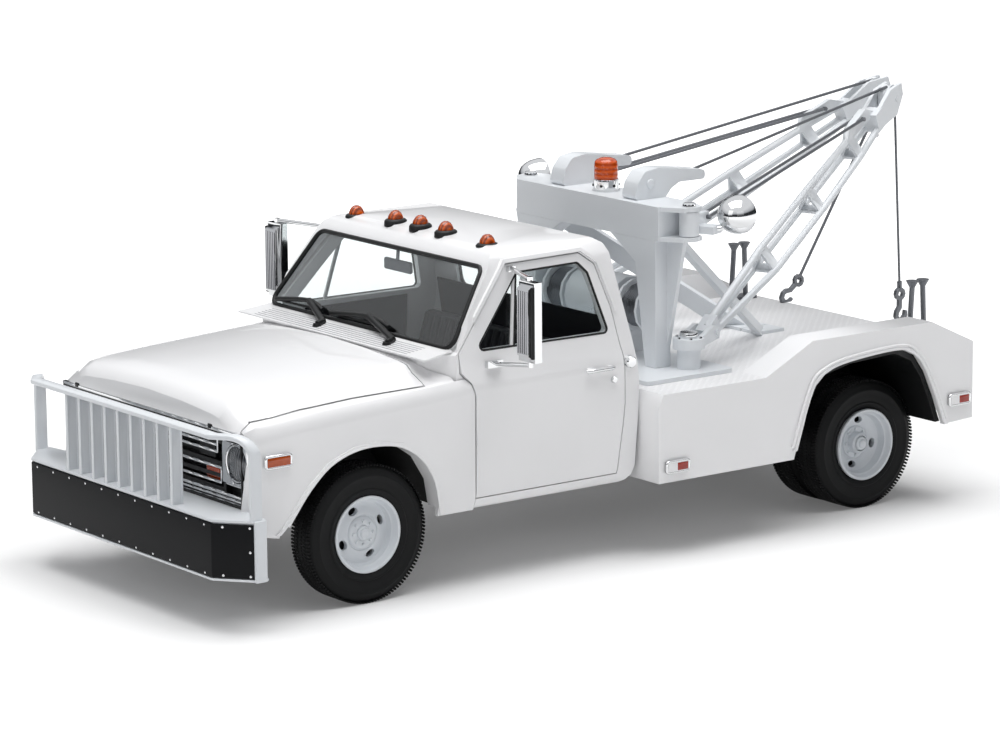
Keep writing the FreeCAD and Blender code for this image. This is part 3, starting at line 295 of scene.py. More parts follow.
def coating(name, hexes, roughness, pattern, strength, relief_mm=0.05, vary=None, drift_mm=None, **inputs):
    """Solid finish: a pattern of real size moves its surface, its roughness and, between two colours, its tone."""
    material, tree = fresh_material(name)
    place, height, bump = surface(tree, pattern, strength, relief_mm)
    tone, sheen, spots = linear(hexes[0]), roughness, height
    if drift_mm:
        spots = add(tree, "ShaderNodeTexNoise", {"Vector": place, "Scale": 1 / (drift_mm * MM), "Detail": 2.0})
    if len(hexes) > 1:
        mix = add(tree, "ShaderNodeMix", {"Factor": spots, "A": tone, "B": linear(hexes[1])}, data_type="RGBA")
        tone = mix.outputs["Result"]
    if vary:
        low, high = vary
        links = {"Value": height, "To Min": roughness * low, "To Max": roughness * high}
        sheen = add(tree, "ShaderNodeMapRange", links)
    links = {"Base Color": tone, "Roughness": sheen, "Normal": bump}
    links.update({key.replace("_", " "): value for key, value in inputs.items()})
    add(tree, "ShaderNodeOutputMaterial", {"Surface": add(tree, "ShaderNodeBsdfPrincipled", links)})
    return material

ENAMEL = {"vary": (0.92, 1.1), "drift_mm": 22, "IOR": 1.5, "Coat_Roughness": 0.04}
WHITE = coating("sprayed_gloss_enamel", ("F3F3F4", "EEEEEF"), 0.3, 0.9, 0.02, Coat_Weight=0.5, **ENAMEL)
FRAME_WHITE = coating("sprayed_frame_enamel", ("E4E7EA", "DDE1E5"), 0.38, 0.6, 0.04, Coat_Weight=0.25, **ENAMEL)
WHEEL_WHITE = coating("wheel_enamel", ("DEE2E6", "D5DADF"), 0.36, 0.6, 0.04, Coat_Weight=0.25, **ENAMEL)
BLACK_FRAME = coating("black_chassis_enamel", ("17181A", "1E1F21"), 0.45, 0.5, 0.12, Coat_Weight=0.1, **ENAMEL)

# %% [markdown]
# Chrome on a model is vacuum plated plastic: a full metal with a very smooth skin and a faint haze.
# The wires are drawn steel, duller, and the mirrors are silvered glass.

# %% Metals
METAL = {"vary": (0.7, 1.4), "relief_mm": 0.02, "Metallic": 1.0}
CHROME = coating("plated_chrome", ["D9DADB"], 0.06, 0.4, 0.02, **METAL)
STEEL = coating("wire_rope_steel", ["6E7074"], 0.36, 0.3, 0.1, **METAL)
RIBBED_METAL = coating("ribbed_bright_steel", ["96979A"], 0.14, 0.4, 0.02, **METAL)
MIRROR_GLASS = coating("silvered_mirror_glass", ["C9CDD0"], 0.02, 0.4, 0.02, **METAL)

# %% [markdown]
# Rubber, vinyl and moulded plastic share one build: a matte base with a grain of its own size.

# %% Rubber and plastics
MATTE = {"vary": (0.9, 1.15), "IOR": 1.5}
RUBBER = coating("vulcanised_tyre_rubber", ("08090A", "0F1011"), 0.6, 0.35, 0.15, Specular_IOR_Level=0.22, **MATTE)
PAD = coating("pressed_sheet_rubber", ("08090B", "0D0E11"), 0.5, 0.5, 0.15, Specular_IOR_Level=0.15, **MATTE)
BLACK_PLASTIC = coating("black_abs", ("0B0C0D", "131415"), 0.42, 0.3, 0.06, Specular_IOR_Level=0.3, **MATTE)
VINYL = coating("seat_vinyl", ("101115", "191A1F"), 0.5, 0.4, 0.2, Specular_IOR_Level=0.35, **MATTE)
DASH = coating("painted_dash_plastic", ("A8A9AD", "B2B3B7"), 0.45, 0.4, 0.06, **MATTE)
GREY_PLASTIC = coating("grey_mirror_plastic", ("74767C", "808288"), 0.4, 0.3, 0.05, **MATTE)

# %% [markdown]
# Windows are clear acrylic, almost without colour. Light passes straight through, so that the cab
# can be seen, and only the glancing sheen of the surface shows. Lamp lenses are clear orange or red
# acrylic, and those with moulded flutes get bands at the flutes' pitch: painted shade in the grooves
# and painted highlights on the crests.

# %% Clear plastics
WAVE_UNIT = 0.314  # the length that Blender's wave bands repeat at when their scale is 1

def clear(name, hex_colour, gloss):
    """Thin clear sheet: mostly see-through, with a reflection that grows at glancing angles."""
    material, tree = fresh_material(name)
    bump = surface(tree, 6.0, 0.01)[2]
    through = add(tree, "ShaderNodeBsdfTransparent", {"Color": linear(hex_colour)})
    shine = add(tree, "ShaderNodeBsdfGlossy", {"Color": linear("FFFFFF"), "Roughness": 0.02, "Normal": bump})
    facing = add(tree, "ShaderNodeLayerWeight", {"Blend": 0.5}).outputs["Facing"]
    steep = add(tree, "ShaderNodeMath", {0: facing, 1: 4.0}, operation="POWER")
    share = add(tree, "ShaderNodeMath", {0: steep, 1: gloss, 2: 0.03}, operation="MULTIPLY_ADD")
    mix = add(tree, "ShaderNodeMixShader", {0: share, 1: through, 2: shine})
    add(tree, "ShaderNodeOutputMaterial", {"Surface": mix})
    return material

def waves(tree, place, pitch_mm, axis):
    """Wave bands at a pitch, across one axis."""
    links = {"Vector": place, "Scale": WAVE_UNIT / (pitch_mm * MM)}
    return add(tree, "ShaderNodeTexWave", links, bands_direction=axis).outputs["Fac"]

def fluted(name, hexes, pitch_mm, axis, transmission):
    """Moulded lens with flutes at a pitch; the first colour is painted shade in the grooves, the second a painted
    highlight on the crests.
    """
    return coating(name, hexes, 0.1, lambda tree, place: waves(tree, place, pitch_mm, axis), 0.6, 0.15, IOR=1.49,
                   Transmission_Weight=transmission, Coat_Weight=0.25, Coat_Roughness=0.03)

ACRYLIC = {"relief_mm": 0.15, "IOR": 1.49, "Transmission_Weight": 0.15, "Coat_Weight": 0.3, "Coat_Roughness": 0.03}
GLASS = clear("clear_acrylic_sheet", "F8FAFA", 0.7)
AMBER = coating("clear_orange_acrylic", ("D05600", "A03C00"), 0.16, 1.1, 0.35, **ACRYLIC)
RED = coating("clear_red_acrylic", ("B82A0C", "8A1408"), 0.16, 1.1, 0.35, **ACRYLIC)
# Fluted lenses: the first colour is painted shade in the grooves and the second a painted highlight on the crests.
# The headlamp and work lamp glass is clear; its dark grey is painted shade.
PAINTED_SHADE_LENS = fluted("fluted_headlamp_glass", ("2E3035", "74777C"), 1.0, "Y", 0.1)
AMBER_LENS = fluted("fluted_orange_acrylic", ("A83404", "E0560C"), 0.9, "X", 0.2)
ROOF_LENS = fluted("ribbed_roof_lens", ("7A2C00", "D45800"), 1.0, "Y", 0.05)
DOME = fluted("ribbed_orange_dome", ("B84000", "E05800"), 1.6, "Z", 0.05)
print("finishes", len(bpy.data.materials))

# %% [markdown]
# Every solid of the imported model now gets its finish. The pieces that need more form than a bevel
# are made further down and take the place of their solid there.

# %% Dress the solids
FINISH = {
    "white_paint": WHITE, "frame_white": FRAME_WHITE, "black_frame": BLACK_FRAME, "chrome": CHROME, "clear": GLASS,
    "tyre_rubber": RUBBER, "black_rubber": PAD, "black_plastic": BLACK_PLASTIC, "amber": AMBER, "interior": VINYL,
    "steel_cable": STEEL}
PAIRED = ("front_wheel", "rear_wheel", "front_tyre", "rear_tyres", "headlamp", "work_lamp")
REMADE = {name + side for name in PAIRED for side in ("_left", "_right")}
REMADE |= {"beacon_lens", "windscreen_glass", "grille_guard", "push_bumper", "bumper_pad"}
BEVELS = {"cab_shell": 0.5, "front_clip": 0.5, "bonnet": 0.5, "door_left": 0.3, "door_right": 0.3, "wrecker_body": 0.6,
          "rear_window_glass": 0.0, "door_glass_left": 0.0, "door_glass_right": 0.0}
SKINS = {}
for node in sorted(set(NODES) - REMADE):
    finish = DASH if node == "dashboard" else FINISH[SLOT_OF[node]]
    tubular = node.startswith(("boom_", "door_mirror_"))
    SKINS[node] = dressed(node, finish, BEVELS.get(node, 0.2), 64.0 if tubular else 32.0)
print("dressed", len(SKINS))

# %% [markdown]
# Geometry Nodes set out whatever repeats. One tree turns a shape round the wheel axis in rows, and
# another puts a shape on each point of a list. Both end in real geometry, which is kept as a mesh.

# %% Geometry Nodes helpers
def start_tree(name, inputs):
    tree = bpy.data.node_groups.new(name, "GeometryNodeTree")
    for label, kind in inputs:
        tree.interface.new_socket(name=label, in_out="INPUT", socket_type=kind)
    tree.interface.new_socket(name="Geometry", in_out="OUTPUT", socket_type="NodeSocketGeometry")
    outputs = add(tree, "NodeGroupInput").outputs
    return tree, {label: outputs[label] for label, kind in inputs}

def end_tree(tree, points, given, turn):
    """Puts the given shape on the points and ends a tree with real, painted geometry."""
    shape = add(tree, "GeometryNodeObjectInfo", {"Object": given["Shape"]}).outputs["Geometry"]
    put = add(tree, "GeometryNodeInstanceOnPoints", {"Points": points, "Instance": shape, "Rotation": turn})
    real = add(tree, "GeometryNodeRealizeInstances", {0: put})
    painted = add(tree, "GeometryNodeSetMaterial", {"Geometry": real, "Material": given["Material"]})
    add(tree, "NodeGroupOutput", {0: painted})
    return tree

def ring_tree():
    """Rows of one shape round the Y axis, each row shifted by part of a step and turned by a twist."""
    tree, given = start_tree("rows_round_a_wheel", [
        ("Shape", "NodeSocketObject"), ("Count", "NodeSocketInt"), ("Rows", "NodeSocketInt"),
        ("Radius", "NodeSocketFloat"), ("Row Step", "NodeSocketFloat"), ("Shift", "NodeSocketFloat"),
        ("Twist", "NodeSocketFloat"), ("Material", "NodeSocketMaterial")])
    values = dict(given, index=add(tree, "GeometryNodeInputIndex"))
    for name, operation, *terms in (
            ("total", "MULTIPLY", "Count", "Rows"), ("share", "DIVIDE", "index", "Count"), ("row", "FLOOR", "share"),
            ("shift", "MULTIPLY", "row", "Shift"), ("step", "ADD", "index", "shift"),
            ("turn", "DIVIDE", "step", "Count"), ("angle", "MULTIPLY", "turn", 2 * math.pi),
            ("cos", "COSINE", "angle"), ("sin", "SINE", "angle"),
            ("x", "MULTIPLY", "cos", "Radius"), ("z", "MULTIPLY", "sin", "Radius"),
            ("last", "SUBTRACT", "Rows", 1.0), ("half", "MULTIPLY", "last", 0.5),
            ("middle", "SUBTRACT", "row", "half"), ("y", "MULTIPLY", "middle", "Row Step"),
            ("odd", "MODULO", "row", 2.0), ("sign", "MULTIPLY_ADD", "odd", 2.0, -1.0),
            ("twist", "MULTIPLY", "sign", "Twist"), ("back_turn", "MULTIPLY", "angle", -1.0)):
        links = {i: values.get(term, term) for i, term in enumerate(terms)}
        values[name] = add(tree, "ShaderNodeMath", links, operation=operation)
    points = add(tree, "GeometryNodePoints", {"Count": values["total"]})
    place = add(tree, "ShaderNodeCombineXYZ", {0: values["x"], 1: values["y"], 2: values["z"]})
    moved = add(tree, "GeometryNodeSetPosition", {"Geometry": points, "Position": place})
    euler = add(tree, "ShaderNodeCombineXYZ", {0: values["twist"], 1: values["back_turn"]})
    return end_tree(tree, moved, given, euler)

def spot_tree():
    """One shape on each vertex of the host mesh, all turned the same way."""
    tree, given = start_tree("shape_on_each_spot", [
        ("Geometry", "NodeSocketGeometry"), ("Shape", "NodeSocketObject"), ("Turn", "NodeSocketVector"),
        ("Material", "NodeSocketMaterial")])
    return end_tree(tree, given["Geometry"], given, given["Turn"])

RING_TREE = ring_tree()
SPOT_TREE = spot_tree()

def evaluated(host):
    """The mesh that an object's modifiers make; the object is used up."""
    bpy.context.view_layer.update()
    mesh = bpy.data.meshes.new_from_object(host.evaluated_get(bpy.context.evaluated_depsgraph_get()))
    bpy.data.objects.remove(host)
    return mesh

def grow(tree, name, spots=None, **values):
    """Runs a tree on a host of loose points and keeps what it makes as a plain mesh."""
    host_mesh = bpy.data.meshes.new(name)
    host_mesh.from_pydata(spots or [(0, 0, 0)], [], [])
    host = link(name + "_host", host_mesh)
    modifier = host.modifiers.new("grow", "NODES")
    modifier.node_group = tree
    for item in tree.interface.items_tree:
        key = item.name.replace(" ", "_")
        if item.in_out == "INPUT" and key in values:
            modifier[item.identifier] = values[key]
    return evaluated(host)

def block_mesh(name, size_x, size_y, size_z, taper):
    """Block with its outer +X face drawn in by the taper, all in millimetres."""
    vertices = []
    for x, inset in ((-size_x / 2, 0.0), (size_x / 2, taper)):
        y, z = size_y / 2 - inset, size_z / 2 - inset
        vertices += [Vector(p) * MM for p in ((x, -y, -z), (x, y, -z), (x, y, z), (x, -y, z))]
    return solid_mesh(name, vertices, [(0, 1, 2, 3), (4, 5, 6, 7)] + band(0, 4, 4))

def joined(name, meshes, finish=None):
    """One object from several meshes; the materials that they have are kept."""
    work = bmesh.new()
    materials = []
    for mesh in meshes:
        first = len(work.faces)
        work.from_mesh(mesh)
        work.faces.ensure_lookup_table()
        slots = [m for m in mesh.materials if m] or [finish]
        for m in slots:
            if m not in materials:
                materials.append(m)
        for face in work.faces[first:]:
            face.material_index = materials.index(slots[min(face.material_index, len(slots) - 1)])
    whole = bpy.data.meshes.new(name)
    work.to_mesh(whole)
    work.free()
    for m in materials:
        whole.materials.append(m)
    return link(name, whole)

print("trees", len(bpy.data.node_groups))

# %% [markdown]
# A tyre is a body of revolution: a tread band with a rounded shoulder, a bulging wall and a bead. The
# tread has two shoulder rows of lugs that give the edge its teeth, and three inner rows of smaller
# blocks set at a slant. Its steps make a pitch of 1.2 mm, as fine as the model's own.

# %% Tread and tyres
TYRE_R = 22.3
TYRE_W = 11.4
RIM_R = 12.3
FRONT_AXLE = 207.0
TYRE_INNER_Y = 41.6
DUAL_GAP = 2.4
TREAD_STEPS = 120
LUG = link("lug_shape", block_mesh("lug_shape", 0.5, 1.9, 0.72, 0.06))
RIB = link("rib_shape", block_mesh("rib_shape", 0.46, 1.5, 0.8, 0.05))
TYRE_HALF = [  # height above the rim and depth behind the wall, with three rings moulded into the wall
    (-0.2, 1.3), (0.5, 0.55), (1.6, 0.25), (1.9, 0.0), (2.3, 0.0), (2.6, 0.3), (4.6, -0.02), (6.0, 0.02), (6.3, -0.2),
    (6.7, -0.2), (7.0, 0.1), (8.0, 0.5), (8.9, 1.1), (9.5, 1.7), (9.82, 2.6)]

def lathe(name, loop, x, steps, sharp):
    """Closed (radius, y) outline turned about the wheel axis at a place along the truck."""
    count = len(loop)
    vertices = [at(x + r * c, y, TYRE_R + r * s) for c, s in circle(steps) for r, y in loop]
    return solid_mesh(name, vertices, walls(steps, count, True), sharp)

def make_tyre(node, inner, x, sign):
    """One tyre and its tread, its inner side at this distance from the middle of the truck."""
    loop = [(RIM_R + r, sign * (inner + w)) for r, w in TYRE_HALF]
    loop += [(RIM_R + r, sign * (inner + TYRE_W - w)) for r, w in reversed(TYRE_HALF)]
    meshes = [lathe(node, loop, x, 96, 50)]
    for shape, rows, depth, row_step, shift, twist in (
            (LUG, 2, 0.3, TYRE_W - 3.2, 0.5, 0.1), (RIB, 3, 0.25, 2.05, 0.33, 0.42)):
        meshes.append(grow(RING_TREE, node, Shape=shape, Count=TREAD_STEPS, Rows=rows, Radius=(TYRE_R - depth) * MM,
                           Row_Step=row_step * MM, Shift=shift, Twist=twist, Material=RUBBER))
        meshes[-1].transform(Matrix.Translation(at(x, sign * (inner + TYRE_W / 2), TYRE_R)))
    return meshes

def fit(name, finish, meshes, body="truck"):
    """One fitting made of meshes that share a finish, fixed to a body."""
    piece = joined(name, meshes, finish)
    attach(piece, body)
    return piece

def stand_in(name, node, finish, meshes):
    """A fitting that is shown in place of a CAD node, on its body."""
    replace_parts(fit(name, finish, meshes, BODY_OF[node]), node)

for side, sign in (("left", 1), ("right", -1)):
    node = "front_tyre_" + side
    stand_in(node + "_rubber", node, RUBBER, make_tyre(node, TYRE_INNER_Y, FRONT_AXLE, sign))
    node = "rear_tyres_" + side
    twin = TYRE_INNER_Y - TYRE_W - DUAL_GAP
    tyres = make_tyre(node, TYRE_INNER_Y, 0.0, sign) + make_tyre(node, twin, 0.0, sign)
    stand_in(node + "_rubber", node, RUBBER, tyres)
for shape in (LUG, RIB):
    bpy.data.objects.remove(shape)
print("tyres done")

# %% [markdown]
# Small fittings are built from four shapes: a tube along a row of points, a block with eased edges,
# a form turned about a line, and a plate cut to an outline. Each is a plain mesh in the frame's metres.

# %% Shapes for the fittings
def tube(name, points, radius, sides=10, closed=False):
    """Round bar of a radius in millimetres along a row of points, its rings turned as little as possible."""
    count = len(points)
    vertices = []
    normal = None
    for i, point in enumerate(points):
        before = points[i - 1] if i > 0 or closed else point
        after = points[(i + 1) % count] if i < count - 1 or closed else point
        along = (after - before).normalized()
        normal = normal or along.orthogonal()
        normal = (normal - along * normal.dot(along)).normalized()
        side = along.cross(normal)
        vertices += [point + (normal * c + side * s) * radius * MM for c, s in circle(sides)]
    faces = walls(count, sides, closed)
    if not closed:
        faces += [tuple(range(sides)), tuple(range((count - 1) * sides, count * sides))]
    return solid_mesh(name, vertices, faces, 50)

def eased_edges(mesh, ease, degrees=30.0):
    """The same mesh with its sharp edges eased by a radius in millimetres."""
    with reworked(mesh) as work:
        hard = sharp_edges(work, degrees)
        bmesh.ops.bevel(work, geom=hard, offset=ease * MM, segments=2, affect="EDGES", profile=0.5, clamp_overlap=True)
        bmesh.ops.recalc_face_normals(work, faces=work.faces)
    return smooth_by_angle(mesh, 40)

def block(name, low, high, ease=0.0):
    """Box between two corners in drawing millimetres, its edges eased by a radius."""
    a, b = at(*low), at(*high)
    mesh = bpy.data.meshes.new(name)
    with reworked(mesh) as work:
        bmesh.ops.create_cube(work, size=1.0)
        for v in work.verts:
            v.co = Vector([(p + q) / 2 + c * (q - p) for p, q, c in zip(a, b, v.co)])
        if ease > 0:
            bmesh.ops.bevel(work, geom=work.edges[:], offset=ease * MM, segments=2, affect="EDGES", profile=0.5)
        bmesh.ops.recalc_face_normals(work, faces=work.faces)
    return smooth_by_angle(mesh, 40)

def revolve(name, outline, start, along, steps=32):
    """Open outline of (radius, distance) pairs in millimetres, turned about a line."""
    axis = Vector(along).normalized()
    u = axis.orthogonal().normalized()
    v = axis.cross(u)
    vertices = [start + (axis * distance + (u * c + v * s) * radius) * MM
                for radius, distance in outline for c, s in circle(steps)]
    return solid_mesh(name, vertices, walls(len(outline), steps))

def plate(name, outline, depth):
    """Flat outline of points carried along a vector."""
    count = len(outline)
    vertices = list(outline) + [p + depth for p in outline]
    faces = [tuple(range(count)), tuple(range(count, 2 * count))] + band(0, count, count)
    return solid_mesh(name, vertices, faces)

def eased(points, radius, steps=4):
    """Closed row of corners, each one turned by an arc of a radius in millimetres."""
    loop = []
    for i, corner in enumerate(points):
        a = (points[i - 1] - corner).normalized()
        b = (points[(i + 1) % len(points)] - corner).normalized()
        half = a.angle(b) / 2
        spread = math.pi - 2 * half
        reach = radius * MM / math.tan(half)
        if spread < 0.1:
            loop.append(corner)
            continue
        centre = corner + (a + b).normalized() * (reach / math.cos(half))
        for n in range(steps + 1):
            swing = spread * n / steps
            arm = (corner + a * reach - centre) * math.sin(spread - swing)
            arm += (corner + b * reach - centre) * math.sin(swing)
            loop.append(centre + arm / math.sin(spread))
    return loop

def curve_through(points, steps=5):
    """Smooth row of points through the given ones."""
    row = []
    for i in range(len(points) - 1):
        p0, p1, p2 = points[max(i - 1, 0)], points[i], points[i + 1]
        p3 = points[min(i + 2, len(points) - 1)]
        for n in range(steps):
            t = n / steps
            square, cube = p0 * 2 - p1 * 5 + p2 * 4 - p3, p1 * 3 - p0 - p2 * 3 + p3
            row.append((p1 * 2 + (p2 - p0) * t + square * t ** 2 + cube * t ** 3) / 2)
    return row + [points[-1]]

def mirrored(mesh):
    copy = mesh.copy()
    copy.transform(Matrix.Scale(-1, 4, (0, 1, 0)))
    copy.flip_normals()
    return copy

def both(meshes):
    return meshes + [mirrored(mesh) for mesh in meshes]

def fit_doors(name, finish, meshes):
    """The same fitting on the left door and, mirrored, on the right one."""
    fit(name + "_left", finish, meshes, "left_door")
    fit(name + "_right", finish, [mirrored(mesh) for mesh in meshes], "right_door")

print("shapes ready")

# %% [markdown]
# The wheels are pressed steel with four hand holes. The front disc is dished outward and the rear one
# inward, as on any truck with twin rear wheels. Nuts stand in a ring round the hub.

# %% Wheels
NUTS = 8
HOLE_R, HOLE_WIDE, HOLE_TALL = 7.75, 1.75, 1.2
NUT = link("nut_shape", solid_mesh(
    "nut_shape", [Vector((0.5 * c, y, 0.5 * s)) * MM for y in (-0.5, 0.5) for c, s in circle(6)],
    band(0, 6, 6) + [tuple(range(6)), tuple(range(6, 12))], 20))
FRONT_DISC = [
    (1.75, 40.9), (3.95, 40.9), (3.95, 46.6), (6.2, 47.6), (8.6, 47.6), (9.9, 46.4), (10.6, 42.9), (11.9, 42.7),
    (11.6, 44.0), (11.6, 50.9), (12.0, 51.5), (12.35, 52.1), (12.4, 52.6), (12.1, 52.8), (11.5, 52.7), (11.2, 52.2),
    (11.05, 50.9), (10.7, 50.5), (10.45, 50.4), (10.3, 49.2), (9.9, 48.6), (9.2, 48.55), (7.9, 48.9), (6.6, 49.25),
    (5.9, 49.3), (5.6, 49.0), (5.35, 49.0), (5.1, 49.5), (4.6, 49.75), (2.6, 49.8), (2.35, 49.6), (1.75, 49.6)]
REAR_DISC = [
    (2.75, 31.1), (4.3, 31.1), (4.3, 44.6), (6.2, 46.2), (9.0, 46.0), (9.9, 45.0), (10.6, 28.7), (11.9, 28.5),
    (11.9, 51.4), (12.3, 52.2), (12.4, 53.2), (12.1, 53.55), (11.5, 53.45), (11.2, 53.0), (11.05, 51.6),
    (10.7, 51.2), (10.45, 51.1), (10.3, 49.3), (9.9, 48.3), (9.2, 48.0), (7.6, 47.7), (6.2, 47.5), (5.9, 47.2),
    (5.6, 47.3), (5.3, 47.9), (3.7, 48.0), (3.5, 48.4), (3.4, 50.4), (2.9, 50.9), (2.75, 50.9)]
HUB_CAP = [(0.0, 1.0), (1.2, 0.95), (1.5, 0.7), (1.6, 0.25), (2.1, 0.2), (2.35, -0.1), (2.45, -0.6), (2.45, -3.0),
           (0.0, -3.0)]

def hand_holes(x, y, first):
    """Four oval cutters that pass through a wheel disc, the first one at an angle in degrees."""
    cutters = []
    for along, up in circle(4, math.radians(first)):
        ring = []
        for c, s in circle(20):
            r, t = HOLE_R + HOLE_TALL * c, HOLE_WIDE * s
            ring.append(at(x + r * along - t * up, y, TYRE_R + r * up + t * along))
        cutters.append(plate("cutter", ring, Y_AXIS * 9 * MM))
    return joined("cutters", cutters)

def drilled(mesh, cutter):
    host = link("host", mesh)
    cut = host.modifiers.new("cut", "BOOLEAN")
    cut.object = cutter
    cut.solver = "EXACT"
    result = evaluated(host)
    bpy.data.objects.remove(cutter)
    return smooth_by_angle(result, 38)

def make_wheels():
    for axle, outline, x, hole_y, first_hole, nut_r, nut_y, cap_y in (
            ("front", FRONT_DISC, FRONT_AXLE, 45.0, 66, 3.7, 49.9, 50.2),
            ("rear", REAR_DISC, 0.0, 43.0, 10, 4.5, 48.1, 51.2)):
        disc = drilled(lathe("disc", outline, x, 72, 38), hand_holes(x, hole_y, first_hole))
        nuts = grow(RING_TREE, "nuts", Shape=NUT, Count=NUTS, Rows=1, Radius=nut_r * MM, Material=WHEEL_WHITE)
        nuts.transform(Matrix.Translation(at(x, nut_y, TYRE_R)))
        cap = revolve("cap", HUB_CAP, at(x, cap_y, TYRE_R), Y_AXIS)
        drum = revolve("drum", [(2.9, 0.0), (9.0, 0.0), (9.0, -8.0)], at(x, hole_y + 1.2, TYRE_R), Y_AXIS)
        for side in ("left", "right"):
            node = axle + "_wheel_" + side
            rim, drums = [disc, nuts, cap], [drum]
            if side == "right":
                rim, drums = [[mirrored(mesh) for mesh in meshes] for meshes in (rim, drums)]
            stand_in(node + "_rim", node, WHEEL_WHITE, rim)
            fit(node + "_drum", BLACK_FRAME, drums, BODY_OF[node])

make_wheels()
bpy.data.objects.remove(NUT)
print("wheels done")

# %% [markdown]
# The cab glass sits in black rubber. Its places come from the same slopes as the cab: the windscreen
# lies on one raked plane, and the side of the cab leans in above the belt line.

# %% Windows and their rubber
SCREEN_FOOT = (173.6, 76.9)
SCREEN_HEAD = (156.6, 100.6)
SCREEN_HALF = (51.6, 45.6)
CAB_SIDE = [(24.8, 54.6), (30.0, 56.0), (46.0, 56.6), (64.5, 56.4), (71.5, 54.2), (88.0, 51.0), (105.4, 47.4)]
DOOR_GLASS_LINE = [(165.2, 75.6), (145.6, 98.2), (121.0, 98.6), (117.4, 95.0), (111.8, 75.2)]
REAR_SLOPE = (102.6, 72.0, 5.8 / 32.4)

def cab_side(z):
    """Half width of the cab at a height."""
    for (z0, y0), (z1, y1) in zip(CAB_SIDE, CAB_SIDE[1:]):
        if z <= z1:
            return y0 + (y1 - y0) * (z - z0) / (z1 - z0)
    return CAB_SIDE[-1][1]

def on_screen(up, across, out=0.0):
    """Point on the windscreen plane: distance up its slope, distance across and height above it."""
    return at(SCREEN_FOOT[0], across, SCREEN_FOOT[1]) + (SCREEN_UP * up + SCREEN_OUT * out) * MM

def on_side(x, z, out=0.0):
    return at(x, cab_side(z) + out, z)

def on_rear(y, z, out=0.0):
    x0, z0, rake = REAR_SLOPE
    return at(x0 + (z - z0) * rake - out, y, z)

def slope_axes(foot, head):
    """Unit vectors up a slope and out of it, with the slope's length, from its foot and head (x, z)."""
    run = Vector((head[0] - foot[0], 0, head[1] - foot[1]))
    up = run.normalized()
    return up, Vector((up.z, 0, -up.x)), run.length

SCREEN_UP, SCREEN_OUT, SCREEN_LENGTH = slope_axes(SCREEN_FOOT, SCREEN_HEAD)

def set_back_screen():
    """The cab skin's copy, with the windscreen opening moved back to its real rake and widened to the pillars."""
    cad_foot, cad_head, cad_low, cad_length, cad_half, cad_taper = (186.0, 74.2), (158.6, 104.4), 3.4, 32.4, 47.4, 4.0
    cad_up, cad_out = slope_axes(cad_foot, cad_head)[:2]
    belt = 75.4
    mesh = SKINS["cab_shell"].data
    moved = 0
    with reworked(mesh) as work:
        for z in (75.3, 76.7):
            geometry = work.verts[:] + work.edges[:] + work.faces[:]
            bmesh.ops.bisect_plane(work, geom=geometry, plane_co=at(0, 0, z), plane_no=Z_AXIS, dist=0.000001)
        front = [f for f in work.faces if f.calc_center_median().x > (150 + SHIFT_X) * MM]
        bmesh.ops.triangulate(work, faces=front)
        for v in work.verts:
            p = v.co / MM - Vector((SHIFT_X, 0, 0))
            if p.z < belt:
                continue
            q = p - Vector((cad_foot[0], 0, cad_foot[1]))
            depth = -(q.x * cad_out.x + q.z * cad_out.z)
            share = (q.x * cad_up.x + q.z * cad_up.z - cad_low) / cad_length
            half = cad_half - cad_taper * share
            if -0.01 < share < 1.01 and abs(p.y) < half + 0.1 and -0.3 < depth < 4.0:
                across = p.y / half * (SCREEN_HALF[0] + (SCREEN_HALF[1] - SCREEN_HALF[0]) * share)
                v.co = on_screen(share * SCREEN_LENGTH, across, -max(depth, 0.0))
                moved += 1
            else:
                behind = 184.6 - (p.z - belt) * 27.2 / 30.0 - p.x
                slope = (p.z - 76.1) * SCREEN_UP.x / SCREEN_UP.z
                limit = SCREEN_FOOT[0] + 0.6 + slope - min(max(behind, 0.0), 2.0)
                if behind < 14 and p.x > limit:
                    v.co = at(limit, p.y, p.z)
                    moved += 1
    smooth_by_angle(mesh, 32)
    print("cab points moved", moved)

def screen_corners(inset, out):
    """Corners of the windscreen, drawn in by an inset and moved out of its plane."""
    low, high = [half - inset for half in SCREEN_HALF]
    foot, head = inset / 2, SCREEN_LENGTH - inset / 2
    return [on_screen(up, across, out) for up, across in ((foot, low), (foot, -low), (head, -high), (head, high))]

def make_screen():
    pane = plate("pane", eased(screen_corners(0.1, -0.9), 3.0), SCREEN_OUT * 0.8 * MM)
    stand_in("windscreen_pane", "windscreen_glass", GLASS, [pane])

def make_rubbers():
    screen = eased(screen_corners(0.0, -0.1), 3.4)
    rear = eased([on_rear(y, z, 0.1) for y, z in ((-38, 77.0), (38, 77.0), (38, 96.6), (-38, 96.6))], 2.5)
    fit("cab_window_rubber", BLACK_PLASTIC,
        [tube("screen_rubber", screen, 0.8, 10, True), tube("rear_rubber", rear, 0.6, 10, True)])
    channel = eased([on_side(x, z, -0.25) for x, z in DOOR_GLASS_LINE], 1.5)
    divider = [on_side(150.1, 75.6, 0.05), on_side(145.9, 98.0, 0.05)]
    fit_doors("door_channel", BLACK_PLASTIC,
             [tube("channel", channel, 0.42, 8, True), tube("divider", divider, 0.3, 8)])

set_back_screen()
make_screen()
make_rubbers()

# %% [markdown]
# Two wipers lie on the glass. Each has a pivot on the cowl, an arm and a blade in a carrier.

# %% Wipers, cowl and inside mirror
WIPER_X = 181.0
PIVOT = [(0, 1.5), (1.2, 1.4), (1.5, 0.7), (1.6, -0.4), (0, -0.4)]

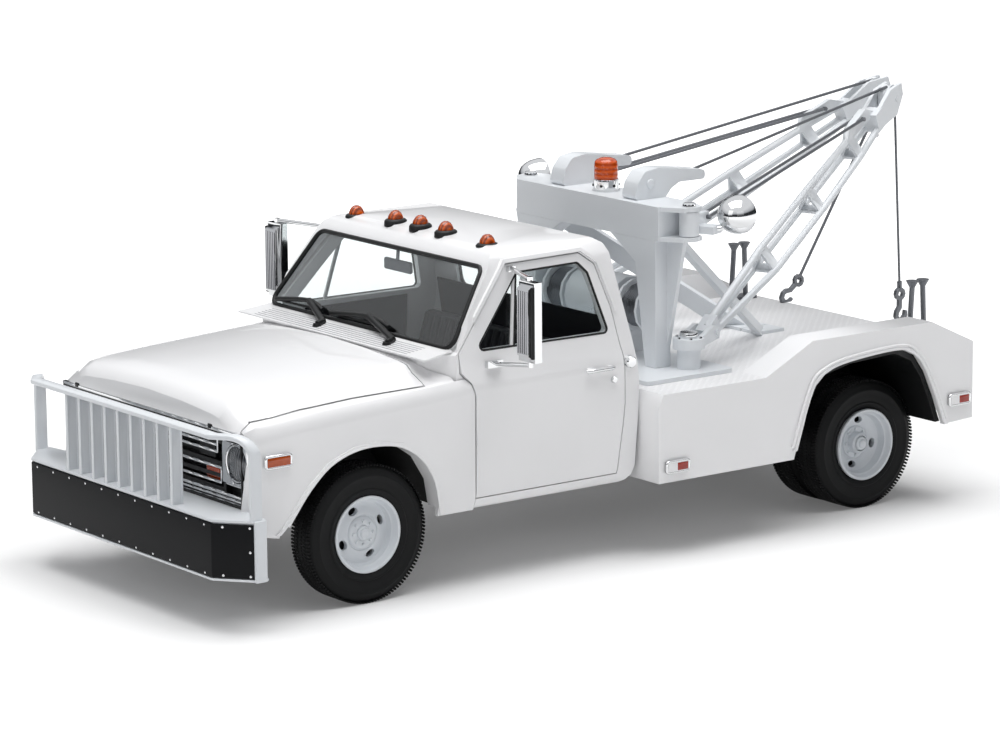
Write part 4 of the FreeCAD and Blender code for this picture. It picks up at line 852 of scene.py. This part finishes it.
def make_wipers():
    meshes = []
    for y, elbow, tip, end in (
            (27.0, (3.4, 6.0), (1.6, -15.5), (1.8, 17.5)), (-12.5, (3.6, -28.5), (1.6, -47.5), (1.8, -20.5))):
        joint = on_screen(*elbow, 2.0)
        meshes.append(revolve("pivot", PIVOT, at(WIPER_X, y, 75.3), Z_AXIS, 16))
        meshes.append(tube("arm", [at(WIPER_X, y, 76.5), at(WIPER_X - 2.4, y, 77.0), joint], 1.1, 8))
        carrier = curve_through([on_screen(*tip, 1.1), joint, on_screen(*end, 1.1)], 6)
        meshes.append(tube("carrier", carrier, 0.8, 8))
        meshes.append(tube("edge", [on_screen(*tip, 0.6), on_screen(*end, 0.6)], 0.4, 8))
    fit("wipers", BLACK_PLASTIC, meshes)

def make_inside_mirror():
    glass = block("glass", (151.4, -14.4, 91.4), (153.0, 0.6, 95.4), 0.7)
    stem = tube("stem", [at(152.4, -7.0, 95.0), at(152.2, -7.0, 97.6), at(151.6, -7.0, 101.6)], 0.6, 8)
    fit("inside_mirror", GREY_PLASTIC, [glass, stem])

make_wipers()
make_inside_mirror()
print("cab glass done")

# %% [markdown]
# The face of the truck: a chrome grille with black behind it, two round lamps in square bezels that
# are dished like real reflectors, and orange parking lamps between the bars. Badge places stay bare.

# %% Grille and bezels
LAMP_Y = 46.9
LAMP_Z = 50.3
LAMP_BACK = 247.45
JAMB_X = 251.3

def lamp_bezel(low, high, x, inner_x, radius, steps=48):
    """Square plate between two corners (y, z), with a round hole for the lamp that is dished back to inner_x."""
    ring = circle(steps, math.pi / steps)
    square = []
    for c, s in ring:
        reach_y = ((high[0] if c > 0 else low[0]) - LAMP_Y) / c
        reach_z = ((high[1] if s > 0 else low[1]) - LAMP_Z) / s
        square.append((c * min(reach_y, reach_z), s * min(reach_y, reach_z)))
    rows = [(inner_x, 1, square), (x - 0.25, 1, square), (x, 0.975, square), (x, radius, ring),
            (inner_x, radius - 0.7, ring), (inner_x, 1, square)]
    vertices = [at(row_x, LAMP_Y + size * y, LAMP_Z + size * z) for row_x, size, row in rows for y, z in row]
    return solid_mesh("bezel", vertices, walls(len(rows), steps), 32)

def set_back_jambs():
    """The fenders' front edges beside the lamps, moved back in the clip's copy so that the lamps show."""
    moved = 0
    limit = JAMB_X + SHIFT_X
    for v in SKINS["front_clip"].data.vertices:
        p = v.co / MM
        if p.x > limit and abs(p.y) > 49.0 and 34.0 < p.z < 59.4:
            v.co.x = limit * MM
            moved += 1
    print("jamb points moved", moved)

def make_grille():
    bars = [(247.3, 249.9, 33.4, z - 0.5, z + 0.5, 0.3) for z in (56.9, 53.7, 51.5)]
    bars += [(247.3, 250.1, 35.6, z - 0.5, z + 0.5, 0.3) for z in (46.9, 42.2)]
    bars += [(247.0, 250.6, 51.4, z - 0.6, z + 0.5, 0.3) for z in (39.3, 37.9, 36.6)]
    bars += [(247.0, 251.6, 51.2, 57.9, 58.7, 0.25), (252.8, 254.3, 52.0, 59.9, 60.9, 0.3)]
    chrome = [block("bar", (x0, -half, z0), (x1, half, z1), ease) for x0, x1, half, z0, z1, ease in bars]
    chrome += both([block("post", (247.3, y - 0.4, low), (250.0, y + 0.5, high), 0.3)
                    for low, high, y in ((51.5, 57.0, 33.2), (42.2, 47.0, 35.2))])
    fit("grille_chrome", CHROME, chrome)
    # The long black strip under the bonnet's lip is painted shadow in the gap above the grille; the two clips are real
    # black parts.
    dark = [block("shade_line", (252.0, -52.0, 58.6), (254.0, 52.0, 59.9), 0.1)]
    dark += [block("clip", (253.0, y - 1.3, 59.9), (254.35, y + 1.3, 61.5), 0.4) for y in (-43.0, 35.9)]
    fit("grille_shade", BLACK_PLASTIC, dark)
    corners = [at(247.2, y, z) for y, z in ((38.0, 42.4), (54.2, 42.4), (54.2, 57.6), (38.0, 57.6))]
    housing = eased_edges(plate("housing", eased(corners, 2.2), X_AXIS * 3.7 * MM), 0.5)
    bezel = lamp_bezel((39.0, 43.4), (53.4, 56.8), 251.9, 249.0, 6.2)
    outline = [(5.6, 1.6), (6.1, 3.9), (5.9, 4.3), (5.5, 4.2), (5.4, 1.6)]
    rim = revolve("rim", outline, at(LAMP_BACK, LAMP_Y, LAMP_Z), X_AXIS, 40)
    fit("lamp_bezels", CHROME, both([housing, bezel, rim]))

set_back_jambs()
make_grille()

# %% [markdown]
# A headlamp is a clear lens with moulded vertical flutes over a bright bowl. Seen from outside it
# reads as dark grey glass, so the clear lens is painted dark grey as shade, with lighter strips
# painted as highlights on the flutes.

# %% Lamp lenses
CAD_LAMP_Y, CAD_LAMP_Z = 43.75, 49.4

def make_headlamps():
    bowl = [(5.6, 2.9), (5.7, 2.7), (5.7, 0.0), (0.0, 0.0), (0.0, 0.6), (3.0, 1.0), (5.2, 2.8), (5.6, 2.9)]
    for side, sign in (("left", 1), ("right", -1)):
        mesh = revolve("bowl", bowl, at(LAMP_BACK, sign * CAD_LAMP_Y, CAD_LAMP_Z), X_AXIS, 48)
        stand_in("headlamp_bowl_" + side, "headlamp_" + side, CHROME, [mesh])
    outline = [(0.0, 5.0), (1.5, 4.95), (3.0, 4.7), (4.4, 4.2), (5.2, 3.8), (5.7, 3.4), (5.7, 0.4), (0.0, 0.4)]
    lens = revolve("lens", outline, at(LAMP_BACK, LAMP_Y, LAMP_Z), X_AXIS, 48)
    fit("headlamp_lenses", PAINTED_SHADE_LENS, both([lens]))
    parking = block("parking", (247.4, 25.8, 43.0), (249.3, 34.6, 46.1), 0.3)
    fit("parking_lenses", AMBER_LENS, both([parking]))

make_headlamps()

def side_light(name, x, z, y, lens_to, finish):
    """Side marker: a chrome frame, a coloured lens on part of its length and a blank dark field under it."""
    half_x, half_z = 4.6, 1.8
    corners = [at(x + a * half_x, y - 0.7, z + b * half_z) for a, b in ((-1, -1), (1, -1), (1, 1), (-1, 1))]
    rim = tube("frame", eased(corners, 0.7, 3), 0.5, 8, True)
    field = block("field", (x - half_x, y - 1.6, z - half_z), (x + half_x, y - 0.75, z + half_z), 0.2)
    low, high = (x - 4.3, y - 1.2, z - half_z + 0.3), (x + lens_to, y - 0.25, z + half_z - 0.3)
    fit(name + "_frames", CHROME, both([rim]))
    fit(name + "_lenses", finish, both([block("lens", low, high, 0.35)]))
    fit(name + "_fields", BLACK_PLASTIC, both([field]))

side_light("front_marker", 242.7, 51.6, 57.3, 4.3, AMBER)
side_light("body_marker", 94.2, 30.8, 68.1, 0.6, RED)
side_light("tail_marker", -30.2, 36.6, 68.1, 0.6, RED)
print("lamps done")

# %% [markdown]
# The five roof lamps have a dark base and a teardrop lens. The beacon is an orange dome with ribs
# inside, on a chrome ring held by bolts.

# %% Roof lamps and beacon
def stretched(mesh, centre, factor):
    """Mesh made longer along the truck about a point."""
    mesh.transform(Matrix.Translation(centre) @ Matrix.Diagonal((factor, 1, 1, 1)) @ Matrix.Translation(-centre))
    return mesh

def make_roof_lamps():
    base = [(0, 0.8), (2.5, 0.8), (2.9, 0.6), (3.3, 0.1), (3.35, -1.6), (0, -1.6)]
    lens = [(0, 3.6), (0.7, 3.5), (1.3, 3.1), (1.8, 2.4), (2.2, 1.5), (2.3, 0.7), (0, 0.6)]
    centres = [at(148.0, y, 107.1 - 0.0011 * y * y) for y in (-36.7, -14.1, 0.0, 14.1, 36.7)]
    bases, lenses = [[stretched(revolve("lamp", outline, centre, Z_AXIS, 28), centre, 1.2) for centre in centres]
                     for outline in (base, lens)]
    fit("roof_lamp_bases", BLACK_PLASTIC, bases)
    fit("roof_lamp_lenses", ROOF_LENS, lenses)

def bolts(outline, centre, radius, first, axis=None):
    """Six bolts round a vertical line, upright or, without an axis, pointing away from the line."""
    return [revolve("bolt", outline, centre + Vector((radius * c, radius * s, 0)) * MM, axis or Vector((c, s, 0)), 10)
            for c, s in circle(6, math.radians(first))]

def make_beacon():
    foot = at(70.8, 0, 110.9)
    ring = [(0, 4.2), (3.9, 4.2), (4.35, 3.9), (4.4, 3.5), (4.4, 0.5), (4.7, 0.4), (4.7, -0.05), (0, -0.05)]
    dome = [(0, 11.3), (1.8, 11.2), (3.0, 10.8), (3.75, 10.0), (4.02, 9.0), (4.05, 4.2), (0, 4.1)]
    bolt = [(0, 0.35), (0.45, 0.3), (0.5, 0), (0.5, -0.3), (0, -0.3)]
    stand_in("beacon_dome", "beacon_lens", DOME, [revolve("dome", dome, foot, Z_AXIS, 40)])
    fit("beacon_ring", CHROME, [revolve("ring", ring, foot, Z_AXIS, 40)])
    fit("beacon_bolts", BLACK_PLASTIC, bolts(bolt, foot + Z_AXIS * 2 * MM, 4.35, 30))

make_roof_lamps()
make_beacon()

# %% [markdown]
# The push bumper is folded sheet with thin edges, and a rubber pad is held on it by rows of small
# studs. Above it a flat bar is bent round the whole width, with thin upright fins below the bar.

# %% Push bumper and its studs
FACE_X, FACE_HALF = 266.0, 53.6
WING_X, WING_HALF = 257.0, 64.4
STUD_ROWS = (18.95, 34.1)

def bumper_strip(name, front, rear, z, height):
    """Strip that follows the bumper's plan, between two distances behind its face."""
    def line(back):
        return [at(x - back, y, z) for x, y in (
            (WING_X, -WING_HALF), (FACE_X, -FACE_HALF), (FACE_X, FACE_HALF), (WING_X, WING_HALF))]
    return plate(name, line(front) + line(rear)[::-1], Z_AXIS * height * MM)

def make_bumper():
    shelf = [(250.9, -52.6), (252.8, -64.4), (256.9, -64.4), (265.9, -53.6)]
    shelf += [(x, -y) for x, y in reversed(shelf)]
    sheets = [eased_edges(bumper_strip("face", 1.35, 2.9, 17.3, 19.0), 0.2),
              eased_edges(plate("shelf", [at(x, y, 35.5) for x, y in shelf], Z_AXIS * 0.95 * MM), 0.25),
              eased_edges(bumper_strip("foot", 0.1, 5.0, 17.1, 0.8), 0.25)]
    sheets += both([block("end", (253.2, 64.2, 17.1), (257.3, 65.5, 36.4), 0.3),
                    block("arm", (246.1, 14.6, 24.0), (263.6, 18.4, 28.1), 0.4)])
    stand_in("bumper_sheet", "push_bumper", FRAME_WHITE, sheets)
    stand_in("pad_sheet", "bumper_pad", PAD, [eased_edges(bumper_strip("pad", 0.2, 1.35, 18.1, 16.9), 0.25)])

def make_studs():
    """Studs in two rows along the face, and on each wing with a fifth between the rows at its end."""
    outline = [(0, 0.17), (0.28, 0.15), (0.4, 0.06), (0.42, -0.1), (0, -0.1)]
    stud = link("stud_shape", revolve("stud_shape", outline, Vector((0, 0, 0)), X_AXIS, 12))
    low, high = STUD_ROWS
    rows = [([at(FACE_X - 0.18, -49.75 + 9.95 * n, z) for n in range(11) for z in STUD_ROWS], 0.0)]
    back, out = FACE_X - WING_X, WING_HALF - FACE_HALF
    for side in (-1, 1):
        spots = [at(FACE_X - 0.18 - back * t, side * (FACE_HALF + out * t), z)
                 for t, z in ((0.26, low), (0.26, high), (0.88, low), (0.88, 26.5), (0.88, high))]
        rows.append((spots, side * (math.pi / 2 - math.atan2(out, back))))
    meshes = [grow(SPOT_TREE, "studs", [tuple(p) for p in spots], Shape=stud, Turn=(0.0, 0.0, turn), Material=CHROME)
              for spots, turn in rows]
    fit("bumper_studs", CHROME, meshes)
    bpy.data.objects.remove(stud)

make_bumper()
make_studs()

# %% Grille guard
def strap(name, line, wide, thick):
    """Flat bar bent along points (x of its front edge, y, z), its width running back along the truck."""
    cut = 0.35
    section = [(cut, 1), (0, 1 - cut), (0, cut - 1), (cut, -1)]
    section += [(wide - back, -side) for back, side in section]
    vertices = []
    for i, (x, y, z) in enumerate(line):
        before, after = line[max(i - 1, 0)], line[min(i + 1, len(line) - 1)]
        along = Vector((0, after[1] - before[1], after[2] - before[2])).normalized()
        out = Vector((0, along.z, -along.y)) * thick / 2 * MM
        vertices += [at(x - back, y, z) + out * side for back, side in section]
    ends = [tuple(range(8)), tuple(range(len(line) * 8 - 8, len(line) * 8))]
    return solid_mesh(name, vertices, ends + walls(len(line), 8), 50)

def make_guard():
    bend, side_y, top = 6.2, 57.4, 61.8
    half = [(side_y + bend, z) for z in (35.9, 45.0, top - bend)]
    half += [(side_y + bend * c, top - bend + bend * s) for c, s in circle(36)[1:10]]
    half += [(y, top) for y in (55.0, 53.4, 52.6, 51.8, 50.0, 25.0)]
    points = half + [(-y, z) for y, z in reversed(half)]
    meshes = [strap("bar", [(265.8 - max(abs(y) - 52.6, 0.0) / 11.8 * 8.4, y, z) for y, z in points], 4.0, 1.6)]
    for k in range(9):
        y = 31.0 - 7.75 * k
        for x0, x1, half_wide, ease in (
                (264.9, 265.6, 0.7, 0.25), (261.6, 265.2, 0.3, 0.1), (261.4, 262.1, 0.55, 0.25)):
            meshes.append(block("fin", (x0, y - half_wide, 35.9), (x1, y + half_wide, 61.3), ease))
    stand_in("guard_bars", "grille_guard", FRAME_WHITE, meshes)

make_guard()
print("bumper and guard done")

# %% [markdown]
# Doors carry a chrome handle, a lock and a tall mirror. The mirror's front is ribbed, and its glass
# faces backward.

# %% Door hardware
def make_door_hardware():
    grip = [at(*spot) for spot in (
        (112.6, 57.0, 64.3), (114.0, 57.9, 64.4), (118.0, 58.1, 64.5), (122.0, 57.9, 64.4), (123.4, 57.0, 64.3))]
    lock = [(0, 0.9), (0.9, 0.85), (1.15, 0.5), (1.15, -0.8), (0, -0.8)]
    fit_doors("door_handle", CHROME,
             [tube("grip", curve_through(grip, 5), 0.75, 10), revolve("lock", lock, at(112.2, 56.6, 60.2), Y_AXIS, 20)])
    ribs = [tube("rib", [at(160.05, y, 77.0), at(160.05, y, 97.0)], 0.35, 8)
            for y in (68.9, 69.9, 70.9, 71.9, 72.9, 73.7)]
    fit_doors("mirror_ribs", RIBBED_METAL, ribs)
    stripe = block("stripe", (156.2, 74.3, 75.6), (159.3, 75.36, 98.4), 0.1)
    fit_doors("mirror_stripe", BLACK_PLASTIC, [stripe])
    glass = block("glass", (155.45, 67.6, 75.0), (155.8, 74.9, 99.0), 0.1)
    fit_doors("mirror_glass", MIRROR_GLASS, [glass])
    cap = [(0, 1.5), (1.6, 1.4), (2.0, 1.0), (2.1, -0.6), (0, -0.6)]
    fit("fuel_cap", CHROME, [revolve("fuel_cap", cap, at(105.4, 56.4, 65.2), Y_AXIS, 28)])

make_door_hardware()

# %% [markdown]
# Wheel wells are black inside. A lining follows the arch line, and painted lips run round the openings.

# %% Wheel wells and arch trim
ARCH_LINE = [(181.7, 25.5), (183.6, 36.5), (188.6, 44.6), (196.0, 49.6), (205.0, 51.4), (214.5, 50.8), (223.5, 47.4),
             (231.0, 41.0), (237.0, 33.6), (241.4, 27.6)]
WELL_LINE = [(178.2, 27.0), (180.4, 37.0), (186.6, 46.2), (195.0, 51.6), (205.0, 53.6), (215.5, 53.0),
             (225.2, 49.4), (233.2, 42.6), (239.0, 35.0)]
WELL_MIDDLE = (209.0, 20.0)
REAR_ARCH = [(43.6, 28.6), (36.2, 48.6), (29.5, 54.2), (18.0, 56.6), (-3.2, 57.6), (-11.0, 54.0), (-15.4, 48.0),
             (-19.6, 39.0), (-23.3, 29.6)]

def make_wells():
    """Each front well is a sheet under its line, drawn in towards a middle point, and a wall inside."""
    thick, inner_y, outer_y = 0.4, 18.8, 52.4
    sheet = [at(x, inner_y, z) for x, z in WELL_LINE]
    for x, z in reversed(WELL_LINE):
        away = Vector((x - WELL_MIDDLE[0], 0, z - WELL_MIDDLE[1]))
        sheet.append(at(WELL_MIDDLE[0], inner_y, WELL_MIDDLE[1]) + away.normalized() * (away.length - thick) * MM)
    wall = [at(x, inner_y, z) for x, z in WELL_LINE]
    linings = [plate("front_well", sheet, Y_AXIS * (outer_y - inner_y) * MM),
               plate("well_wall", wall, Y_AXIS * thick * MM)]
    fit("front_wells", BLACK_PLASTIC, both(linings))
    raised = [(x + (x - 10) * 0.03, z + 1.1) for x, z in REAR_ARCH]
    trims = []
    for line, y, steps, radius in (
            (raised, 67.05, 5, 0.55), (REAR_ARCH, 67.0, 5, 0.6), (ARCH_LINE[:-1] + [(239.4, 30.4)], 56.5, 4, 0.45)):
        trims.append(tube("trim", curve_through([at(x, y, z) for x, z in line], steps), radius, 8))
    fit("arch_trims", WHITE, both(trims))

make_wells()

# %% [markdown]
# Under the bonnet's rear edge lies the cowl with its thin air slots, drawn as grey strips of painted shade.

# %% Cowl slots
def on_cowl(x):
    return 75.3 + (184.7 - x) * 0.127

def make_cowl():
    corners = [at(*spot) for spot in (
        (173.4, -52.0, 76.75), (173.4, 52.0, 76.75), (185.0, 53.4, 75.27), (185.0, -53.4, 75.27))]
    fit("cowl_panel", WHITE, [plate("panel", corners, Z_AXIS * -0.5 * MM)])
    # Each slot is a thin grey strip only 0.07 mm above the cowl: painted shade, in the dash's grey.
    slots = [block("slot", (x, -45.0, on_cowl(x) - 0.2), (x + 0.4, 42.0, on_cowl(x) + 0.07))
             for x in (176.6, 178.0, 179.4, 180.8, 182.2, 183.6)]
    fit("cowl_slots", DASH, slots)

make_cowl()
print("body trim done")

# %% [markdown]
# The wrecker gear: winch drums wound with wire rope, and the taut wires from the booms.

# %% Winch ropes
WINCH = (70.0, 74.0)
WIRE_R = 0.55

def coil(name, radius, y0, y1, pitch, thick):
    """Rope wound side by side round the winch axis."""
    turns = (y1 - y0) / pitch
    count = int(turns * 22)
    points = []
    for n in range(count + 1):
        a = 2 * math.pi * turns * n / count
        x, z = WINCH[0] + radius * math.cos(a), WINCH[1] + radius * math.sin(a)
        points.append(at(x, y0 + (y1 - y0) * n / count, z))
    return tube(name, points, thick, 6)

def taut_wire(name, start, end):
    """A straight wire across a boom's joint, with rings at its two ends alone."""
    wire = joined(name, [tube("wire", [start, end], WIRE_R, 8)], STEEL)
    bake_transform(wire)

ropes = [coil("rope", radius, 16.3, 24.6, 0.92, 0.5) for radius in (6.9, 6.0)]
fit("wound_ropes", STEEL, both(ropes))
taut_wire("hoist_wire_left_boom", at(54.0, 19.8, 117.3), at(-64.84, -10.2, 133.2))
taut_wire("hoist_wire_right_boom", at(54.0, -19.8, 117.3), at(-74.2, -28.04, 133.2))
# The right boom's second wire runs down from its head to the hook that is parked on the tail.
taut_wire("parked_wire", at(-42.6, -31.9, 62.6), at(-80.0, -27.6, 128.6))
print("wires done")

# %% Pins, bolts and lamps of the mast
SWING_X, SWING_Y = 70.0, 43.3

def make_mast_fittings():
    head = [(0, 1.15), (1.6, 1.1), (2.2, 0.75), (2.35, 0.2), (2.35, -0.05), (0, -0.05)]
    spacer = [(0, 0.5), (2.9, 0.5), (3.1, 0.2), (3.1, -0.6), (0, -0.6)]
    bolt = [(0, 0.6), (0.5, 0.55), (0.6, 0.1), (0.6, -0.3), (0, -0.3)]
    for side, body in ((1, "left_boom"), (-1, "right_boom")):
        y = side * SWING_Y
        meshes = [revolve("head", head, at(SWING_X, y, 111.05), Z_AXIS, 28),
                  revolve("spacer", spacer, at(SWING_X, y, 68.2), Z_AXIS, 28)]
        meshes += bolts(bolt, at(SWING_X, y, 66.8), 4.2, 0, Z_AXIS)
        fit("boom_pins_" + body, CHROME, meshes, body)
    boss = [(0, 0.8), (1.2, 0.75), (1.6, 0.45), (1.7, -0.3), (0, -0.3)]
    bosses = both([revolve("boss", boss, at(70.4, 23.4, 116.0), Y_AXIS, 24)])
    fit("horn_bolts", FRAME_WHITE, bosses)

def make_work_lamps():
    outline = [(0, 6.5), (1.4, 6.3), (3.0, 5.6), (4.4, 4.5), (5.4, 3.0), (6.1, 1.2), (6.45, -0.8), (6.6, -2.0),
               (6.55, -2.35), (6.1, -2.35), (5.9, -1.2), (5.4, 1.0), (4.4, 2.9), (3.0, 4.2), (1.4, 5.0), (0, 5.2)]
    face = [(0, -2.9), (3.0, -2.6), (5.0, -1.9), (6.0, -1.1), (5.6, -0.7), (0, -1.6)]
    for side, sign, degrees in (("left", 1, 21.5), ("right", -1, -6.0)):
        centre = at(60.5, sign * 55.7, 107.6)
        pivot = at(SWING_X, sign * SWING_Y, 0)
        turn = Matrix.Translation(pivot) @ Matrix.Rotation(math.radians(degrees), 4, "Z") @ Matrix.Translation(-pivot)
        spots = [at(x, sign * y, z) for x, y, z in ((65.0, 49.9, 102.9), (62.7, 54.7, 104.0), (61.8, 55.4, 105.6))]
        arm = tube("arm", spots, 1.0, 12)
        lens = revolve("lens", face, centre, X_AXIS, 36)
        bowl = revolve("bowl", outline, centre, X_AXIS, 44)
        for mesh in (arm, lens, bowl):
            mesh.transform(turn)
        node = "work_lamp_" + side
        stand_in(node + "_bowl", node, CHROME, [bowl, arm])
        # The work lamp's clear lens has the same painted dark grey shade and painted highlight strips.
        fit(node + "_lens", PAINTED_SHADE_LENS, [lens], BODY_OF[node])

make_mast_fittings()
make_work_lamps()
print("mast fittings done")

# %% [markdown]
# Below the belt line the cab is lined with black vinyl: a panel behind the seat, and a card in each door.

# %% Cab lining
def make_lining():
    rear = [on_rear(y, z, -2.8) for y, z in ((-49.5, 40.0), (49.5, 40.0), (48.0, 78.6), (-48.0, 78.6))]
    fit("rear_lining", VINYL, [plate("lining", rear, X_AXIS * 0.5 * MM)])
    card = [on_side(x, z, -3.6) for x, z in ((118.0, 38.0), (163.0, 38.0), (160.0, 73.6), (118.0, 73.6))]
    fit_doors("door_card", VINYL, [plate("card", card, Y_AXIS * 0.5 * MM)])

make_lining()

# %% [markdown]
# The bench seat is black vinyl sewn into pleats. Each pleat is a long soft roll on the cushion or the back.

# %% Seat pleats
def make_seat():
    cushion = ((135.6, 44.1), (128.0, 45.3), (121.6, 46.1))
    back = ((119.6, 48.4), (116.6, 58.0), (113.6, 67.2))
    rolls = [tube("pleat", [at(x, -42.0 + 4.2 * n, z) for x, z in line], 1.5, 10)
             for n in range(21) for line in (cushion, back)]
    fit("seat_pleats", VINYL, rolls)

make_seat()

# %% [markdown]
# The deck gets a tread plate pattern on its upward faces, as a second finish of the body's skin.
# The bars are raised by bump and painted lighter as highlight, with painted shade between them.

# %% Deck tread plate
DECK_Z = 55.0

def tread_plate(tree, place):
    """Short raised bars in a crossing pattern, pressed at a pitch of 2.2 mm."""
    turned = add(tree, "ShaderNodeMapping", {"Vector": place, "Rotation": (0, 0, math.radians(45))})
    bars = {i: waves(tree, turned, 2.2, axis) for i, axis in enumerate("XY")}
    crossing = add(tree, "ShaderNodeMath", bars, operation="MULTIPLY")
    return add(tree, "ShaderNodeMapRange", {"Value": crossing, "From Min": 0.35, "From Max": 0.7})

# The tone follows the bars: darker between them as painted shade, lighter on them as painted highlight.
DECK = coating("enamel_over_tread_plate", ("E6E6E7", "F3F3F4"), 0.34, tread_plate, 0.7, 0.25, IOR=1.5,
               Coat_Weight=0.3, Coat_Roughness=0.08)

def paint_deck():
    mesh = SKINS["wrecker_body"].data
    mesh.materials.append(DECK)
    count = 0
    for face in mesh.polygons:
        if face.normal.z > 0.95 and abs(face.center.z / MM - DECK_Z) < 0.5:
            face.material_index = 1
            count += 1
    print("deck faces", count)

paint_deck()
